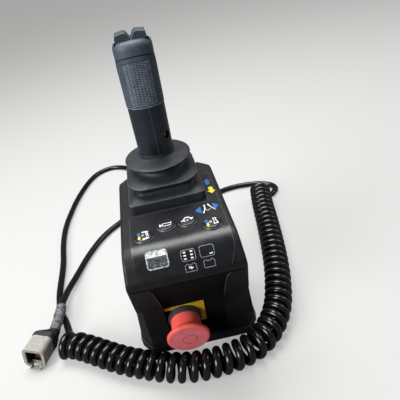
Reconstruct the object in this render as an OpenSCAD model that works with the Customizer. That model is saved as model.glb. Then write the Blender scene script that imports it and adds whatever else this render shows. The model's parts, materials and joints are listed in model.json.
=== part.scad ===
// Scissor lift control box: moulded housing, single-axis joystick, push buttons,
// stop button and a coiled cable that ends in a sealed rectangular connector.
// X runs to the right, Y away from the user, Z up. The table is z = 0 and the
// joystick's axis stands over y = 0.

/* [Housing] */
// Width of the flat top
top_w = 86; // [82:1:94]
// Height of the flat top above the table
top_z = 167; // [162:1:174]
// Widening of each side per millimetre of height
side_taper_share = 0.115; // [0.09:0.005:0.13]
// Thickness of the moulded walls
wall = 2.8; // [2.4:0.1:3.2]
// Distance from the joystick's axis back to the top's rear edge
back_top = 32; // [30:1:36]
// Distance from the joystick's axis back to the rear foot
back_foot = 45; // [42:1:48]
// Distance from the joystick's axis to where the top starts to bend down
nose_y = 72; // [70:1:78]
// Radius of the bend at the front of the top
bend_r = 20; // [18:1:23]
// Angle of the sloping front, down from level
slope_angle = 55; // [50:1:60]
// Length of the sloping front
slope_len = 8.7; // [7:0.1:10]
// Radius of the lip under the sloping front
tip_r = 10; // [9:0.5:11]
// Rounding of the long side edges
edge_r = 3; // [2:0.5:4]

/* [Recess] */
// Angle of the recess under the lip, down from level
recess_angle = 54; // [52:0.5:56]
// Angle of the cheeks under the lip, down from level
cheek_angle = 58.3; // [57.5:0.1:59.5]
// Distance from the joystick's axis forward to the foot of the stop panel
panel_foot = 40.3; // [38.5:0.1:41]
// Lean of the stop panel from upright
panel_lean = 6.4; // [5.4:0.2:7.4]
// Distance from the joystick's axis forward to the foot of the cheeks
cheek_foot = 42; // [41.5:0.1:43.5]
// Lean of the cheeks from upright
cheek_lean = 9; // [8.4:0.2:9.6]
// Radius between the recess and the stop panel
fillet_r = 40; // [30:1:46]
// Width of the recess at the stop panel
recess_w = 58; // [56:0.5:62]
// Width of the recess under the lip
recess_top_w = 75; // [72:0.5:77]
// Height of the recess's floor above the table
recess_floor = 18; // [15:0.5:22]

/* [Base] */
// Height of the band round the foot
band_h = 10; // [8:0.5:12]
// How far the band stands proud of the housing
band_proud = 1.2; // [0.8:0.1:1.6]
// Thickness of the base cover
cover_t = 2.6; // [2.2:0.1:3.2]
// Radius of the cover screws
cover_screw_r = 1.5; // [1.25:0.05:1.7]

/* [Membrane] */
// Thickness of the printed membrane
skin_t = 0.6; // [0.5:0.05:0.8]
// Distance of the membrane from the top's left edge
skin_left_gap = 7.5; // [6.5:0.1:8]
// Distance of the membrane from the top's right edge
skin_right_gap = 4.2; // [3.5:0.1:5]
// Length of the display window along the bend
window_len = 13.5; // [12:0.5:15]
// Width of the display window
window_w = 16.2; // [14:0.2:18]
// Middle of the display window from the housing's middle
window_x = -18.2; // [-20:0.1:-16]

/* [Buttons] */
// Radius of the push buttons
button_r = 6.4; // [5.8:0.1:6.8]
// Travel of the push buttons
button_travel = 0.8; // [0.6:0.05:0.9]

/* [Joystick] */
// Joystick's axis from the housing's middle
stick_x = -1.8; // [-3:0.1:1]
// Distance of the joystick's pivot below the top
pivot_drop = 17; // [16:0.5:18]
// Radius of the pivot pin
pin_r = 3; // [2.5:0.1:3.4]
// Radius of the lever's shaft
shaft_r = 5; // [4.5:0.1:5.4]
// Half width of the handle
handle_half_w = 14.2; // [13.5:0.1:15]
// Half depth of the handle
handle_half_d = 13.2; // [12.8:0.1:14]
// Length of the handle
handle_len = 84.2; // [82:0.1:88]
// Width of the textured grip pad
pad_w = 19; // [17:0.5:20]
// Height of the textured grip pad
pad_h = 32; // [30:0.5:33]

/* [Boot] */
// Height of the boot above the housing's top
boot_h = 37; // [36:0.1:40]
// Half width of the boot's square skirt
skirt_half = 31.5; // [30.5:0.5:32.5]
// Height of the boot's square skirt
skirt_h = 10.5; // [9.5:0.1:11]
// Half width of the boot's second tier
tier_half = 29.3; // [28:0.1:30]
// Radius of the boot's round top tier
disc_r = 27.2; // [26:0.2:28.4]
// Thickness of the boot's rubber
boot_t = 1.6; // [1.4:0.1:2]

/* [Stop button] */
// Gap between the stop button's collar and the recess's left wall
stop_side_gap = 1.55; // [1:0.05:5]
// Height of the stop button's axis at the panel
stop_z = 51.3; // [50:0.1:54]
// Radius of the mushroom head
head_r = 20; // [19:0.5:21]
// Radius of the head's neck
neck_r = 14.2; // [13.5:0.1:14.6]
// Distance from the panel to the head's face
head_reach = 27; // [25.5:0.5:27.5]
// Travel of the stop button
stop_travel = 4.5; // [4:0.1:4.6]

/* [Cable] */
// Diameter of the cable
cable_d = 8; // [7.8:0.1:8.1]
// Outer diameter of the coiled stretch
coil_od = 29.6; // [29:0.1:30]
// Curls in the coiled stretch
coil_curls = 48; // [44:1:49]

/* [Connector] */
// Width of the connector's shell
conn_w = 23; // [22:0.5:24]
// Height of the connector's shell
conn_h = 24; // [23:0.5:24.5]
// Length of the connector's shell
conn_len = 22; // [21:0.5:24]
// Depth of the connector's mouth
mouth_depth = 15; // [13:0.5:16]

/* [Hidden] */
$fn = 48;
// Overrun of every cut past the face it goes through
over = 1;
// Thickness of the slices that hulls are drawn between
slice = 0.02;
// Radial clearance of a pin or plunger that turns or slides
run_gap = 0.05;
// Clearance round a button or a loose inner piece
loose_gap = 0.1;
// Distance at which an inner piece lies from its seat
seat_gap = 0.3;
pivot_z = top_z - pivot_drop;
skin_w = top_w - skin_left_gap - skin_right_gap;
skin_x = (skin_left_gap - skin_right_gap) / 2;
// Middle of the recess, to the right of the housing's middle
recess_x = 0.45;
handle_foot_z = top_z + boot_h + seat_gap;
handle_top_z = handle_foot_z + handle_len;

// Outline of the housing, seen from the side as [y, z]
function back_y(z) = back_top + (top_z - z) * (back_foot - back_top) / top_z;
function half_w(z) = top_w / 2 + (top_z - z) * side_taper_share;
bend_c = [-nose_y, top_z - bend_r];
slope_a = 90 + slope_angle;
function polar(c, r, a) = [c[0] + r * cos(a), c[1] + r * sin(a)];
slope_start = polar(bend_c, bend_r, slope_a);
slope_end = slope_start + slope_len * [-sin(slope_a), cos(slope_a)];
tip_c = slope_end - tip_r * [cos(slope_a), sin(slope_a)];
tip_end = polar(tip_c, tip_r, 270 - cheek_angle);
bend_steps = 6;
tip_steps = 4;
function arc(c, r, a0, a1, n) = [for (k = [0 : n]) polar(c, r, a0 + (a1 - a0) * k / n)];
function cheek_y(z) = -(cheek_foot + z * tan(cheek_lean));
// Height at which the cheeks meet the underside of the nose
join_z = (tip_end[0] + tip_end[1] / tan(cheek_angle) + cheek_foot)
    / (1 / tan(cheek_angle) - tan(cheek_lean));
nose_outline = concat([[back_y(top_z), top_z]],
    arc(bend_c, bend_r, 90, slope_a, bend_steps),
    arc(tip_c, tip_r, slope_a, 270 - cheek_angle, tip_steps),
    [[cheek_y(join_z), join_z], [back_y(join_z), join_z]]);
back_corner = [10, 7.5];
// Height up to which the lower body reaches inside the nose
body_top_z = 0.72 * top_z;
foot_corner = [11, 15];
body_corner = [3, 5];
body_round = 2;

// Recess under the lip, as lines and a fillet seen from the side, grown by g
function recess_tip(g) = polar(tip_c, tip_r - g, 270 - recess_angle);
function panel_y(z, g) = -(panel_foot + z * tan(panel_lean)) + g / cos(panel_lean);
function recess_knee_z(g) = (recess_tip(g)[0] + recess_tip(g)[1] / tan(recess_angle)
    - panel_y(0, g)) / (1 / tan(recess_angle) - tan(panel_lean));
function recess_knee(g) = [panel_y(recess_knee_z(g), g), recess_knee_z(g)];
function recess_tangent(g) = (fillet_r + g) * tan((90 - recess_angle - panel_lean) / 2);
function fillet_c(g) = recess_knee(g) - recess_tangent(g) * [cos(recess_angle), -sin(recess_angle)]
    - (fillet_r + g) * [sin(recess_angle), cos(recess_angle)];
recess_neck_z = 132;
// Step in the stop panel above the recess's floor
ledge_z = 34.8;
ledge_t = 1.2;

module along_x(w) rotate([90, 0, 90]) linear_extrude(w, center = true) children();
module along_y(l) rotate([90, 0, 0]) linear_extrude(l) children();

// One tilted slice of a side of the nose, x_in inwards from the side's face
module side_slice(x_in, shrink, cut_back)
    multmatrix([[1, 0, -side_taper_share, top_w / 2 + top_z * side_taper_share - x_in],
        [0, 1, 0, 0], [0, 0, 1, 0], [0, 0, 0, 1]])
    along_x(slice) intersection() {
        offset(delta = -shrink) polygon(nose_outline);
        polygon([[-2 * top_z, 0], [back_foot - cut_back - shrink, 0],
            [back_top - cut_back - shrink, top_z], [-2 * top_z, top_z]]);
    }

module nose_block(inset) hull() for (side = [0, 1]) mirror([side, 0, 0]) {
    for (a = [0, 45, 90])
        side_slice(inset + edge_r * (1 - cos(a)), inset + edge_r * (1 - sin(a)), back_corner[1]);
    side_slice(inset + back_corner[0], inset, 0);
}

module body_plan(z, corner, inset) {
    h = half_w(z) - inset;
    f = cheek_y(z) + inset;
    b = back_y(z) - inset;
    offset(r = body_round) offset(delta = -body_round) polygon([
        [corner[0] - h, f], [h - corner[0], f], [h, f + corner[1]],
        [h, b - back_corner[1]], [h - back_corner[0], b],
        [back_corner[0] - h, b], [-h, b - back_corner[1]], [-h, f + corner[1]]]);
}

module lower_body(inset, foot_z) hull() {
    translate([0, 0, foot_z]) linear_extrude(slice) body_plan(band_h, foot_corner, inset, $fn = 28);
    translate([0, 0, body_top_z]) linear_extrude(slice)
        body_plan(body_top_z, body_corner, inset, $fn = 28);
}

module recess_front(g) polygon([
    [recess_x - recess_top_w / 2 - g, top_z], [recess_x - recess_top_w / 2 - g, slope_start[1]],
    [recess_x - recess_w / 2 - g, recess_neck_z], [recess_x - recess_w / 2 - g, recess_floor - g],
    [recess_x + recess_w / 2 + g, recess_floor - g], [recess_x + recess_w / 2 + g, recess_neck_z],
    [recess_x + recess_top_w / 2 + g, slope_start[1]], [recess_x + recess_top_w / 2 + g, top_z]]);

module recess_side(g) polygon(concat(
    [recess_tip(g) + nose_y * [-cos(recess_angle), sin(recess_angle)], recess_tip(g)],
    arc(fillet_c(g), fillet_r + g, 90 - recess_angle, panel_lean, bend_steps),
    [[panel_y(ledge_z, g), ledge_z], [panel_y(ledge_z, g) - ledge_t, ledge_z - ledge_t],
        [panel_y(0, g) - ledge_t, 0], [-3 * nose_y, 0]]));

module recess(g) intersection() {
    along_x(2 * top_w) recess_side(g);
    translate([0, 0, 0]) along_y(3 * nose_y) recess_front(g);
}

// Screw bosses in the housing, with a rib from each to its side wall
boss_r = 4.5;
boss_h = 20;
boss_at = [[50, 30], [46, -24]];
insert_r = 2.4;
insert_len = 7;
lip_h = 4;
lip_t = 1.8;
rib_z = band_h + lip_h + seat_gap;
rib_h = boss_h - lip_h - seat_gap;
module bosses() for (side = [-1, 1]) for (p = boss_at) {
    translate([side * p[0], p[1], band_h]) cylinder(r = boss_r, h = boss_h);
    translate([side * (p[0] + half_w(band_h + boss_h) - wall / 2) / 2, p[1], rib_z + rib_h / 2])
        cube([half_w(band_h + boss_h) - wall / 2 - p[0], wall, rib_h], center = true);
}
module at_bosses() for (side = [-1, 1]) for (p = boss_at) translate([side * p[0], p[1], 0]) children();

// Places and sizes of the openings in the top
lever_hole_r = 18;
button_shares = [-0.29, -0.081, 0.113, 0.313];
button_y = [-65, -57, -57.2, -66.8];
button_at = [for (k = [0 : 3]) [button_shares[k] * top_w, button_y[k]]];
clamp_screw_r = 1.5;
clamp_screw_at = 20.5;
module at_clamp_screws() for (sx = [-1, 1]) for (sy = [-1, 1])
    translate([stick_x + sx * clamp_screw_at, sy * clamp_screw_at, 0]) children();
module at_button(i) translate([button_at[i][0], button_at[i][1], top_z]) children();

// Frame on the bend under the display window, local Z out of the surface
window_a = 90 + 0.74 * slope_angle;
module at_window() translate([window_x, polar(bend_c, bend_r, window_a)[0],
    polar(bend_c, bend_r, window_a)[1]]) rotate([window_a - 90, 0, 0]) children();
module_w = window_w - 2;
module_len = 9;
module_t = 4.5;
module_top = 1.2;

// Frame of the stop button on the panel, local Z along the button
collar_or = 16;
stop_x = recess_x - recess_w / 2 + collar_or + stop_side_gap;
module at_stop() translate([stop_x, panel_y(stop_z, 0), stop_z])
    rotate([90 + panel_lean, 0, 0]) children();
stop_thread_r = 11;

// Frame of the cable gland on the back wall, local Z along the cable
gland_x = 13;
gland_z = 24;
back_lean = atan((back_foot - back_top) / top_z);
module at_gland() translate([gland_x, back_y(gland_z), gland_z])
    rotate([back_lean - 90, 0, 0]) children();
gland_r = 8;

// Holes where the circuit board hangs under the top
post_r = 3;
post_x = top_w / 2 - 9;
post_at = [[post_x, -38], [post_x, -77]];
board_drop = 15;
board_z = top_z - board_drop;
board_t = 1.6;
module at_posts() for (side = [-1, 1]) for (p = post_at) translate([side * p[0], p[1], 0]) children();
board_screw_r = 1.2;

module housing() color([0.08, 0.08, 0.09]) difference() {
    union() {
        difference() {
            union() { nose_block(0); lower_body(0, band_h); }
            difference() {
                union() { nose_block(wall); lower_body(wall, band_h - slice); }
                recess(wall);
            }
        }
        intersection() { bosses(); lower_body(wall / 2, band_h); }
        at_posts() translate([0, 0, board_z + board_t])
            cylinder(r = post_r, h = top_z - 0.8 * wall - board_z - board_t);
    }
    recess(0);
    translate([stick_x, 0, top_z - 2 * wall]) cylinder(r = lever_hole_r, h = 3 * wall);
    at_clamp_screws() translate([0, 0, top_z - 2 * wall])
        cylinder(r = clamp_screw_r + loose_gap, h = 3 * wall);
    for (i = [0 : 3]) at_button(i) translate([0, 0, -2 * wall])
        cylinder(r = button_r + loose_gap, h = 3 * wall);
    at_window() translate([0, 0, -wall / 2])
        cube([module_w + 2 * loose_gap, module_len + 2 * loose_gap, 3 * wall], center = true);
    at_stop() translate([0, 0, -2 * wall]) cylinder(r = stop_thread_r + loose_gap, h = 3 * wall);
    at_gland() translate([0, 0, -2 * wall]) cylinder(r = gland_r + loose_gap, h = 3 * wall);
    at_bosses() translate([0, 0, band_h - over]) cylinder(r = insert_r, h = insert_len + over);
    at_bosses() translate([0, 0, band_h]) cylinder(r = cover_screw_r + loose_gap, h = boss_h - wall);
    at_posts() translate([0, 0, board_z]) cylinder(r = board_screw_r, h = board_t + 3 * wall);
}

// Base cover: a plate with a band round it and a lip inside the housing
// The housing's sides lean in over the lip's height
lip_gap = seat_gap + side_taper_share * lip_h;
module cover_plan(inset) body_plan(band_h, foot_corner, inset);
module base_cover() color([0.1, 0.1, 0.11]) difference() {
    union() {
        linear_extrude(band_h) cover_plan(-band_proud);
        translate([0, 0, band_h]) linear_extrude(lip_h) cover_plan(wall + lip_gap);
    }
    translate([0, 0, cover_t]) linear_extrude(band_h + lip_h) cover_plan(wall + lip_gap + lip_t);
    at_bosses() translate([0, 0, -over]) cylinder(r = cover_screw_r + loose_gap, h = band_h + over);
    at_bosses() translate([0, 0, -over]) cylinder(r = 2 * cover_screw_r + loose_gap, h = cover_t / 2 + over);
    at_bosses() translate([0, 0, band_h]) cylinder(r = boss_r + seat_gap, h = lip_h + over);
}

// The cover's screws pass through posts that stand on its plate
module base_screws() color([0.6, 0.6, 0.62]) at_bosses() {
    translate([0, 0, cover_t / 4]) cylinder(r = 2 * cover_screw_r, h = cover_t / 4);
    translate([0, 0, cover_t / 2]) cylinder(r = cover_screw_r, h = band_h + insert_len - cover_t / 2);
}

module cover_inserts() color([0.8, 0.65, 0.3]) at_bosses() translate([0, 0, band_h]) difference() {
    cylinder(r = insert_r - run_gap / 2, h = insert_len);
    translate([0, 0, -over]) cylinder(r = cover_screw_r + run_gap, h = insert_len + 2 * over);
}

// Strip that follows the top, the bend and the slope, from distance d0 to d1 off the surface
function bend_line(d, y0, a0, len) = concat(y0 == undef ? [] : [[y0, top_z + d]],
    arc(bend_c, bend_r + d, a0, slope_a, bend_steps),
    [polar(bend_c, bend_r + d, slope_a) + len * [-sin(slope_a), cos(slope_a)]]);
module strip(w, d0, d1, y0, a0, len) along_x(w) polygon(concat(bend_line(d1, y0, a0, len),
    [for (p = bend_line(d0, y0, a0, len)) p][0] == undef ? [] :
    let (q = bend_line(d0, y0, a0, len)) [for (k = [len(q) - 1 : -1 : 0]) q[k]]));
skin_back = 7;
skin_margin = 4;
skin_end = slope_len - 2.5;
window_end = 3;
// Angle on the bend at which the window's strip starts
window_start_a = slope_a - (window_len - window_end) / bend_r * 180 / PI;

module panel_overlay() color([0.05, 0.05, 0.06]) difference() {
    translate([skin_x, 0, 0]) strip(skin_w, 0, skin_t, skin_back, 90, skin_end);
    translate([stick_x, 0, top_z]) cube([2 * (skirt_half + seat_gap), 2 * (skirt_half + seat_gap),
        3 * skin_t], center = true);
    translate([-top_w, -skirt_half - skin_margin, top_z - skin_t]) cube([top_w + stick_x + skirt_half,
        2 * top_w, 3 * skin_t]);
    for (i = [0 : 3]) at_button(i) translate([0, 0, -over])
        cylinder(r = button_r + loose_gap, h = skin_t + 2 * over);
    translate([window_x, 0, 0]) strip(window_w + 2 * loose_gap, -over, skin_t + over, undef,
        window_start_a - 1, window_end + loose_gap);
}

module display_window() color([0.6, 0.62, 0.64]) translate([window_x, 0, 0])
    strip(window_w, 0, 1.2 * skin_t, undef, window_start_a, window_end);

module display_module() color([0.35, 0.38, 0.36]) at_window()
    translate([0, 0, -module_top - module_t / 2]) cube([module_w, module_len, module_t], center = true);

// Circuit board under the top, with a switch below each push button
board_half = post_x + 3.5;
board_y = [-81, -33];
stem_r = 2.6;
flange_r = 7.3;
flange_t = 1.5;
flange_z = top_z - wall - seat_gap - flange_t;
switch_half = 3;
switch_top = board_z + board_t + 3.6;
stem_gap = button_travel + seat_gap;
module circuit_board() color([0.1, 0.35, 0.2]) difference() {
    union() {
        translate([-board_half, board_y[0], board_z])
            cube([2 * board_half, board_y[1] - board_y[0], board_t]);
        for (p = button_at) translate([p[0] - switch_half, p[1] - switch_half, board_z + board_t / 2])
            cube([2 * switch_half, 2 * switch_half, switch_top - board_z - board_t / 2]);
    }
    at_posts() translate([0, 0, board_z - over]) cylinder(r = board_screw_r + loose_gap,
        h = board_t + 2 * over);
}
module board_screws() color([0.7, 0.7, 0.72]) at_posts() {
    translate([0, 0, board_z - board_t]) cylinder(r = 2 * board_screw_r, h = board_t);
    translate([0, 0, board_z - board_t]) cylinder(r = board_screw_r - run_gap, h = 4 * board_t);
}
header_size = [26, 9, 8];
module board_header() color([0.85, 0.83, 0.75]) translate([-header_size[0] / 2,
    board_y[1] - header_size[1], board_z - header_size[2]]) cube(header_size);

// Push button: domed cap, retaining flange and stem, drawn with z = 0 on the housing's top
button_proud = 1;
module push_button(i) color([0.12, 0.12, 0.13]) at_button(i) rotate_extrude() polygon(concat(
    [[0, switch_top + stem_gap - top_z], [stem_r, switch_top + stem_gap - top_z],
        [stem_r, flange_z - top_z], [flange_r, flange_z - top_z],
        [flange_r, flange_z + flange_t - top_z], [button_r, flange_z + flange_t - top_z]],
    [for (a = [0 : 30 : 90]) [button_r - button_proud * (1 - cos(a)),
        skin_t + button_proud * sin(a)]],
    [[0, skin_t + button_proud]]));
module lift_button() push_button(0);
module horn_button() push_button(1);
module slow_button() push_button(2);
module drive_button() push_button(3);

// Rubber boot: square skirt, groove, rounded second tier, waist and round top tier
skirt_round = 4;
tier_round = 18;
groove_half = 23.4;
crown_r = 23;
waist_r = 19.4;
collar_r = 12.6;
boot_z = top_z;
groove_z = boot_z + skirt_h + 3.5;
tier_z = boot_z + skirt_h + 11.5;
waist_z = boot_z + skirt_h + 17;
disc_z = waist_z + 5;
disc_t = 1.3;
boot_top_z = boot_z + boot_h;
module rounded_square(half, r) offset(r = r) square(2 * (half - r), center = true);
module boot_block(z0, z1, half, r) translate([0, 0, z0]) linear_extrude(z1 - z0)
    rounded_square(half, r, $fn = 28);
module boot_tiers(g) {
    hull() {
        boot_block(boot_z - (g > 0 ? over : 0), boot_z + skirt_h - 1.5 * boot_t - g,
            skirt_half - g, skirt_round);
        boot_block(boot_z, boot_z + skirt_h - g, groove_half + boot_t - g, skirt_round);
    }
    boot_block(boot_z + skirt_h - boot_t - g, groove_z + boot_t / 2 + 2 * g, groove_half - g,
        skirt_round);
    hull() {
        boot_block(groove_z + g, tier_z - g, groove_half + boot_t - g, tier_round - 2 * boot_t);
        boot_block(groove_z + 2 * boot_t + g / 4, tier_z - 2 * boot_t - g / 4, tier_half - g, tier_round);
    }
}
// Round upper part of the boot, as one hollow revolve
module boot_crown() rotate_extrude() polygon([
    [crown_r, tier_z - boot_t / 2], [waist_r, waist_z - 2 * boot_t], [waist_r, waist_z],
    [disc_r - boot_t, disc_z - disc_t - boot_t / 2], [disc_r, disc_z - disc_t], [disc_r, disc_z],
    [disc_r - 2 * boot_t, disc_z + boot_t / 2], [handle_half_w, (disc_z + boot_top_z) / 2],
    [collar_r, boot_top_z], [shaft_r + seat_gap, boot_top_z],
    [shaft_r + seat_gap, boot_top_z - boot_t], [collar_r - boot_t, boot_top_z - boot_t],
    [waist_r + boot_t, disc_z - disc_t], [waist_r - boot_t, waist_z + boot_t / 2],
    [waist_r - boot_t, waist_z - 2 * boot_t], [crown_r - 2 * boot_t, tier_z - boot_t / 2]]);
module boot() color([0.2, 0.22, 0.25]) translate([stick_x, 0, 0]) union() {
    difference() {
        boot_tiers(0);
        boot_tiers(boot_t);
        translate([0, 0, tier_z - 3 * boot_t])
            cylinder(r = crown_r - boot_t, h = 4 * boot_t);
    }
    boot_crown();
}

// Steel ring that holds the boot's skirt down, screwed through the top into the bracket
clamp_half = 27;
clamp_t = 2;
bracket_t = 2;
module boot_clamp() color([0.55, 0.56, 0.58]) difference() {
    translate([stick_x, 0, top_z + clamp_t / 2]) cube([2 * clamp_half, 2 * clamp_half, clamp_t],
        center = true);
    translate([stick_x, 0, top_z - over]) cylinder(r = lever_hole_r, h = clamp_t + 2 * over);
    at_clamp_screws() translate([0, 0, top_z - over]) cylinder(r = clamp_screw_r + loose_gap,
        h = clamp_t + 2 * over);
}
module clamp_screws() color([0.7, 0.7, 0.72]) at_clamp_screws() {
    translate([0, 0, top_z - wall - 2 * bracket_t])
        cylinder(r = clamp_screw_r, h = wall + 2 * bracket_t + clamp_t);
    translate([0, 0, top_z + clamp_t]) cylinder(r = 2 * clamp_screw_r, h = clamp_screw_r);
}

// Bracket under the top, with an ear on each side of the lever's hub
hub_half = 7;
ear_gap = 12;
ear_t = 2.5;
ear_half = 9;
bracket_half = 25;
bush_r = 5;
bush_flange_t = 1;
bush_flange_r = 6.5;
module bracket_hole(r) translate([stick_x, 0, pivot_z]) rotate([0, 90, 0])
    cylinder(r = r, h = 4 * ear_gap, center = true);
module joystick_bracket() color([0.6, 0.61, 0.63]) difference() {
    translate([stick_x, 0, 0]) union() {
        translate([0, 0, top_z - wall - bracket_t / 2])
            cube([2 * bracket_half, 2 * bracket_half, bracket_t], center = true);
        for (side = [-1, 1]) translate([side * (ear_gap + ear_t / 2), 0, 0]) {
            translate([0, 0, (top_z - wall + pivot_z) / 2])
                cube([ear_t, 2 * ear_half, top_z - wall - pivot_z], center = true);
            translate([0, 0, pivot_z]) rotate([0, 90, 0])
                cylinder(r = ear_half, h = ear_t, center = true);
        }
    }
    bracket_hole(bush_r);
    translate([stick_x, 0, top_z - 2 * wall - bracket_t])
        cylinder(r = ear_gap - loose_gap, h = 3 * wall);
    at_clamp_screws() translate([0, 0, top_z - wall - bracket_t - over])
        cylinder(r = clamp_screw_r + loose_gap, h = bracket_t + 2 * over);
}
module pivot_bushes() color([0.75, 0.6, 0.35]) for (side = [-1, 1])
    translate([stick_x + side * ear_gap, 0, pivot_z]) rotate([0, 90 * side, 0]) difference() {
        union() {
            cylinder(r = bush_r, h = ear_t);
            translate([0, 0, -bush_flange_t]) cylinder(r = bush_flange_r, h = bush_flange_t);
        }
        translate([0, 0, -bush_flange_t - over]) cylinder(r = pin_r + run_gap,
            h = ear_t + bush_flange_t + 2 * over);
    }
spring_wire = 1;
module centring_springs() color([0.7, 0.71, 0.73]) for (side = [-1, 1])
    translate([stick_x + side * (hub_half + ear_gap - bush_flange_t) / 2, 0, pivot_z])
    rotate([0, 90, 0]) difference() {
        cylinder(r = pin_r + seat_gap + 2 * spring_wire,
            h = ear_gap - bush_flange_t - hub_half - 2 * seat_gap, center = true);
        cylinder(r = pin_r + seat_gap, h = ear_gap, center = true);
    }
sensor_size = [8, 16, 17];
module angle_sensor() color([0.15, 0.15, 0.17]) difference() {
    translate([stick_x + ear_gap + ear_t, -sensor_size[1] / 2, pivot_z - sensor_size[2] / 2])
        cube(sensor_size);
    translate([stick_x + ear_gap, 0, pivot_z]) rotate([0, 90, 0])
        cylinder(r = pin_r + loose_gap, h = ear_t + sensor_size[0] - wall / 2);
}

// Lever: pin, hub and shaft
module pivot_pin() color([0.75, 0.76, 0.78]) translate([stick_x - ear_gap - ear_t, 0, pivot_z])
    rotate([0, 90, 0]) cylinder(r = pin_r, h = 2 * (ear_gap + ear_t) + sensor_size[0] / 2);
hub_d = 9;
hub_z = [-8, 11];
module lever_hub() color([0.72, 0.73, 0.75]) difference() {
    translate([stick_x - hub_half, -hub_d, pivot_z + hub_z[0]])
        cube([2 * hub_half, 2 * hub_d, hub_z[1] - hub_z[0]]);
    bracket_hole(pin_r);
}
shaft_top_z = handle_foot_z + 0.34 * handle_len;
module lever_shaft() color([0.72, 0.73, 0.75]) translate([stick_x, 0, pivot_z + hub_z[1]])
    cylinder(r = shaft_r, h = shaft_top_z - pivot_z - hub_z[1]);

// Handle section: nearly round, flatter at the front
section_points = 40;
function section(g) = [for (k = [0 : section_points - 1]) let (a = 360 * k / section_points)
    [(handle_half_w - g) * cos(a) * pow(max(abs(cos(a)), 0.001), -0.12),
        (handle_half_d - g) * sin(a) * pow(max(abs(sin(a)), 0.001), -0.12)]];
// The cap meets the grip on a plane that rises towards the front
cap_z = handle_top_z - 13.5;
cap_tilt = 19;
cap_gap = 0.4;
front_flat = 0.6;
module handle_solid(z0, z1) translate([stick_x, 0, z0]) linear_extrude(z1 - z0) polygon(section(0));
module below_cap_plane(drop) translate([stick_x, 0, cap_z - drop]) rotate([-cap_tilt, 0, 0])
    translate([0, 0, -2 * top_z]) cube(4 * top_z, center = true);
pocket_half = 5.6;
pocket_z = [handle_foot_z + 0.377 * handle_len, handle_foot_z + 0.685 * handle_len];
pocket_y = 5;
trigger_hinge = [8.2, pocket_z[1] - 4];
trigger_pin_r = 1.25;
trigger_eye_r = 2.6;
// Trigger's outline below its eye: distance outwards, and drop as a share of its height
trigger_h = 0.247 * handle_len;
trigger_outline = [[-1.5, -0.29], [2.6, -0.89], [4.4, -0.985], [7.4, -1], [9.2, -0.93],
    [9.8, -0.77], [8.6, -0.48], [8.2, -0.24], [7.2, -0.06]];
screw_z = handle_foot_z + 0.163 * handle_len;
screw_head_r = 2.9;
screw_seat_x = 9;
screw_shank_r = 1.5;
pad_top_z = handle_top_z - 13.1;
pad_sink = 1.4;
module along_lever_x(y, z, r, l) translate([stick_x, y, z]) rotate([0, 90, 0])
    cylinder(r = r, h = l, center = true);
module handle_grip() color([0.22, 0.25, 0.3]) difference() {
    intersection() {
        handle_solid(handle_foot_z, handle_top_z);
        below_cap_plane(cap_gap);
    }
    translate([stick_x, 0, handle_foot_z - over]) cylinder(r = shaft_r,
        h = shaft_top_z - handle_foot_z + over);
    translate([stick_x, 0, handle_foot_z - over]) cylinder(r = collar_r + 2 * seat_gap,
        h = 2 * over);
    translate([stick_x - pocket_half, pocket_y, pocket_z[0]])
        cube([2 * pocket_half, handle_half_d, pocket_z[1] - pocket_z[0]]);
    along_lever_x(trigger_hinge[0], trigger_hinge[1], trigger_pin_r, 2 * (pocket_half + wall));
    translate([stick_x - pad_w / 2, -handle_half_d - over, pad_top_z - pad_h])
        cube([pad_w, over + pad_sink, pad_h]);
    translate([stick_x + screw_seat_x, 0, screw_z]) rotate([0, 90, 0])
        cylinder(r = screw_head_r + loose_gap, h = handle_half_w);
    translate([stick_x, 0, screw_z]) rotate([0, 90, 0])
        cylinder(r = screw_shank_r + run_gap, h = handle_half_w);
}
module handle_screw() color([0.75, 0.76, 0.78]) translate([stick_x, 0, screw_z]) rotate([0, 90, 0]) {
    translate([0, 0, screw_seat_x]) cylinder(r = screw_head_r, h = screw_shank_r);
    translate([0, 0, shaft_r]) cylinder(r = screw_shank_r, h = screw_seat_x - shaft_r);
}

// Grip pad: a plate with short raised dashes in staggered columns
pad_columns = 6;
pad_rows = 12;
pad_plate_t = 1.1;
dash_h = 1.3;
dash_share = 0.86;
module grip_pad() color([0.2, 0.22, 0.26]) {
    col = pad_w / (pad_columns + 0.5);
    row = (pad_h - dash_h) / pad_rows;
    translate([stick_x - pad_w / 2 + loose_gap, -handle_half_d + pad_sink - pad_plate_t,
        pad_top_z - pad_h + loose_gap])
        cube([pad_w - 2 * loose_gap, pad_plate_t, pad_h - 2 * loose_gap]);
    for (i = [0 : pad_columns - 1]) for (j = [0 : pad_rows - 1])
        translate([stick_x - pad_w / 2 + loose_gap + (i + 0.3) * col,
            -handle_half_d + pad_sink - 1.5 * pad_plate_t,
            pad_top_z - pad_h + dash_h / 2 + (j + (i % 2) / 2) * row])
            cube([col * dash_share, pad_plate_t, dash_h]);
}

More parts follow.
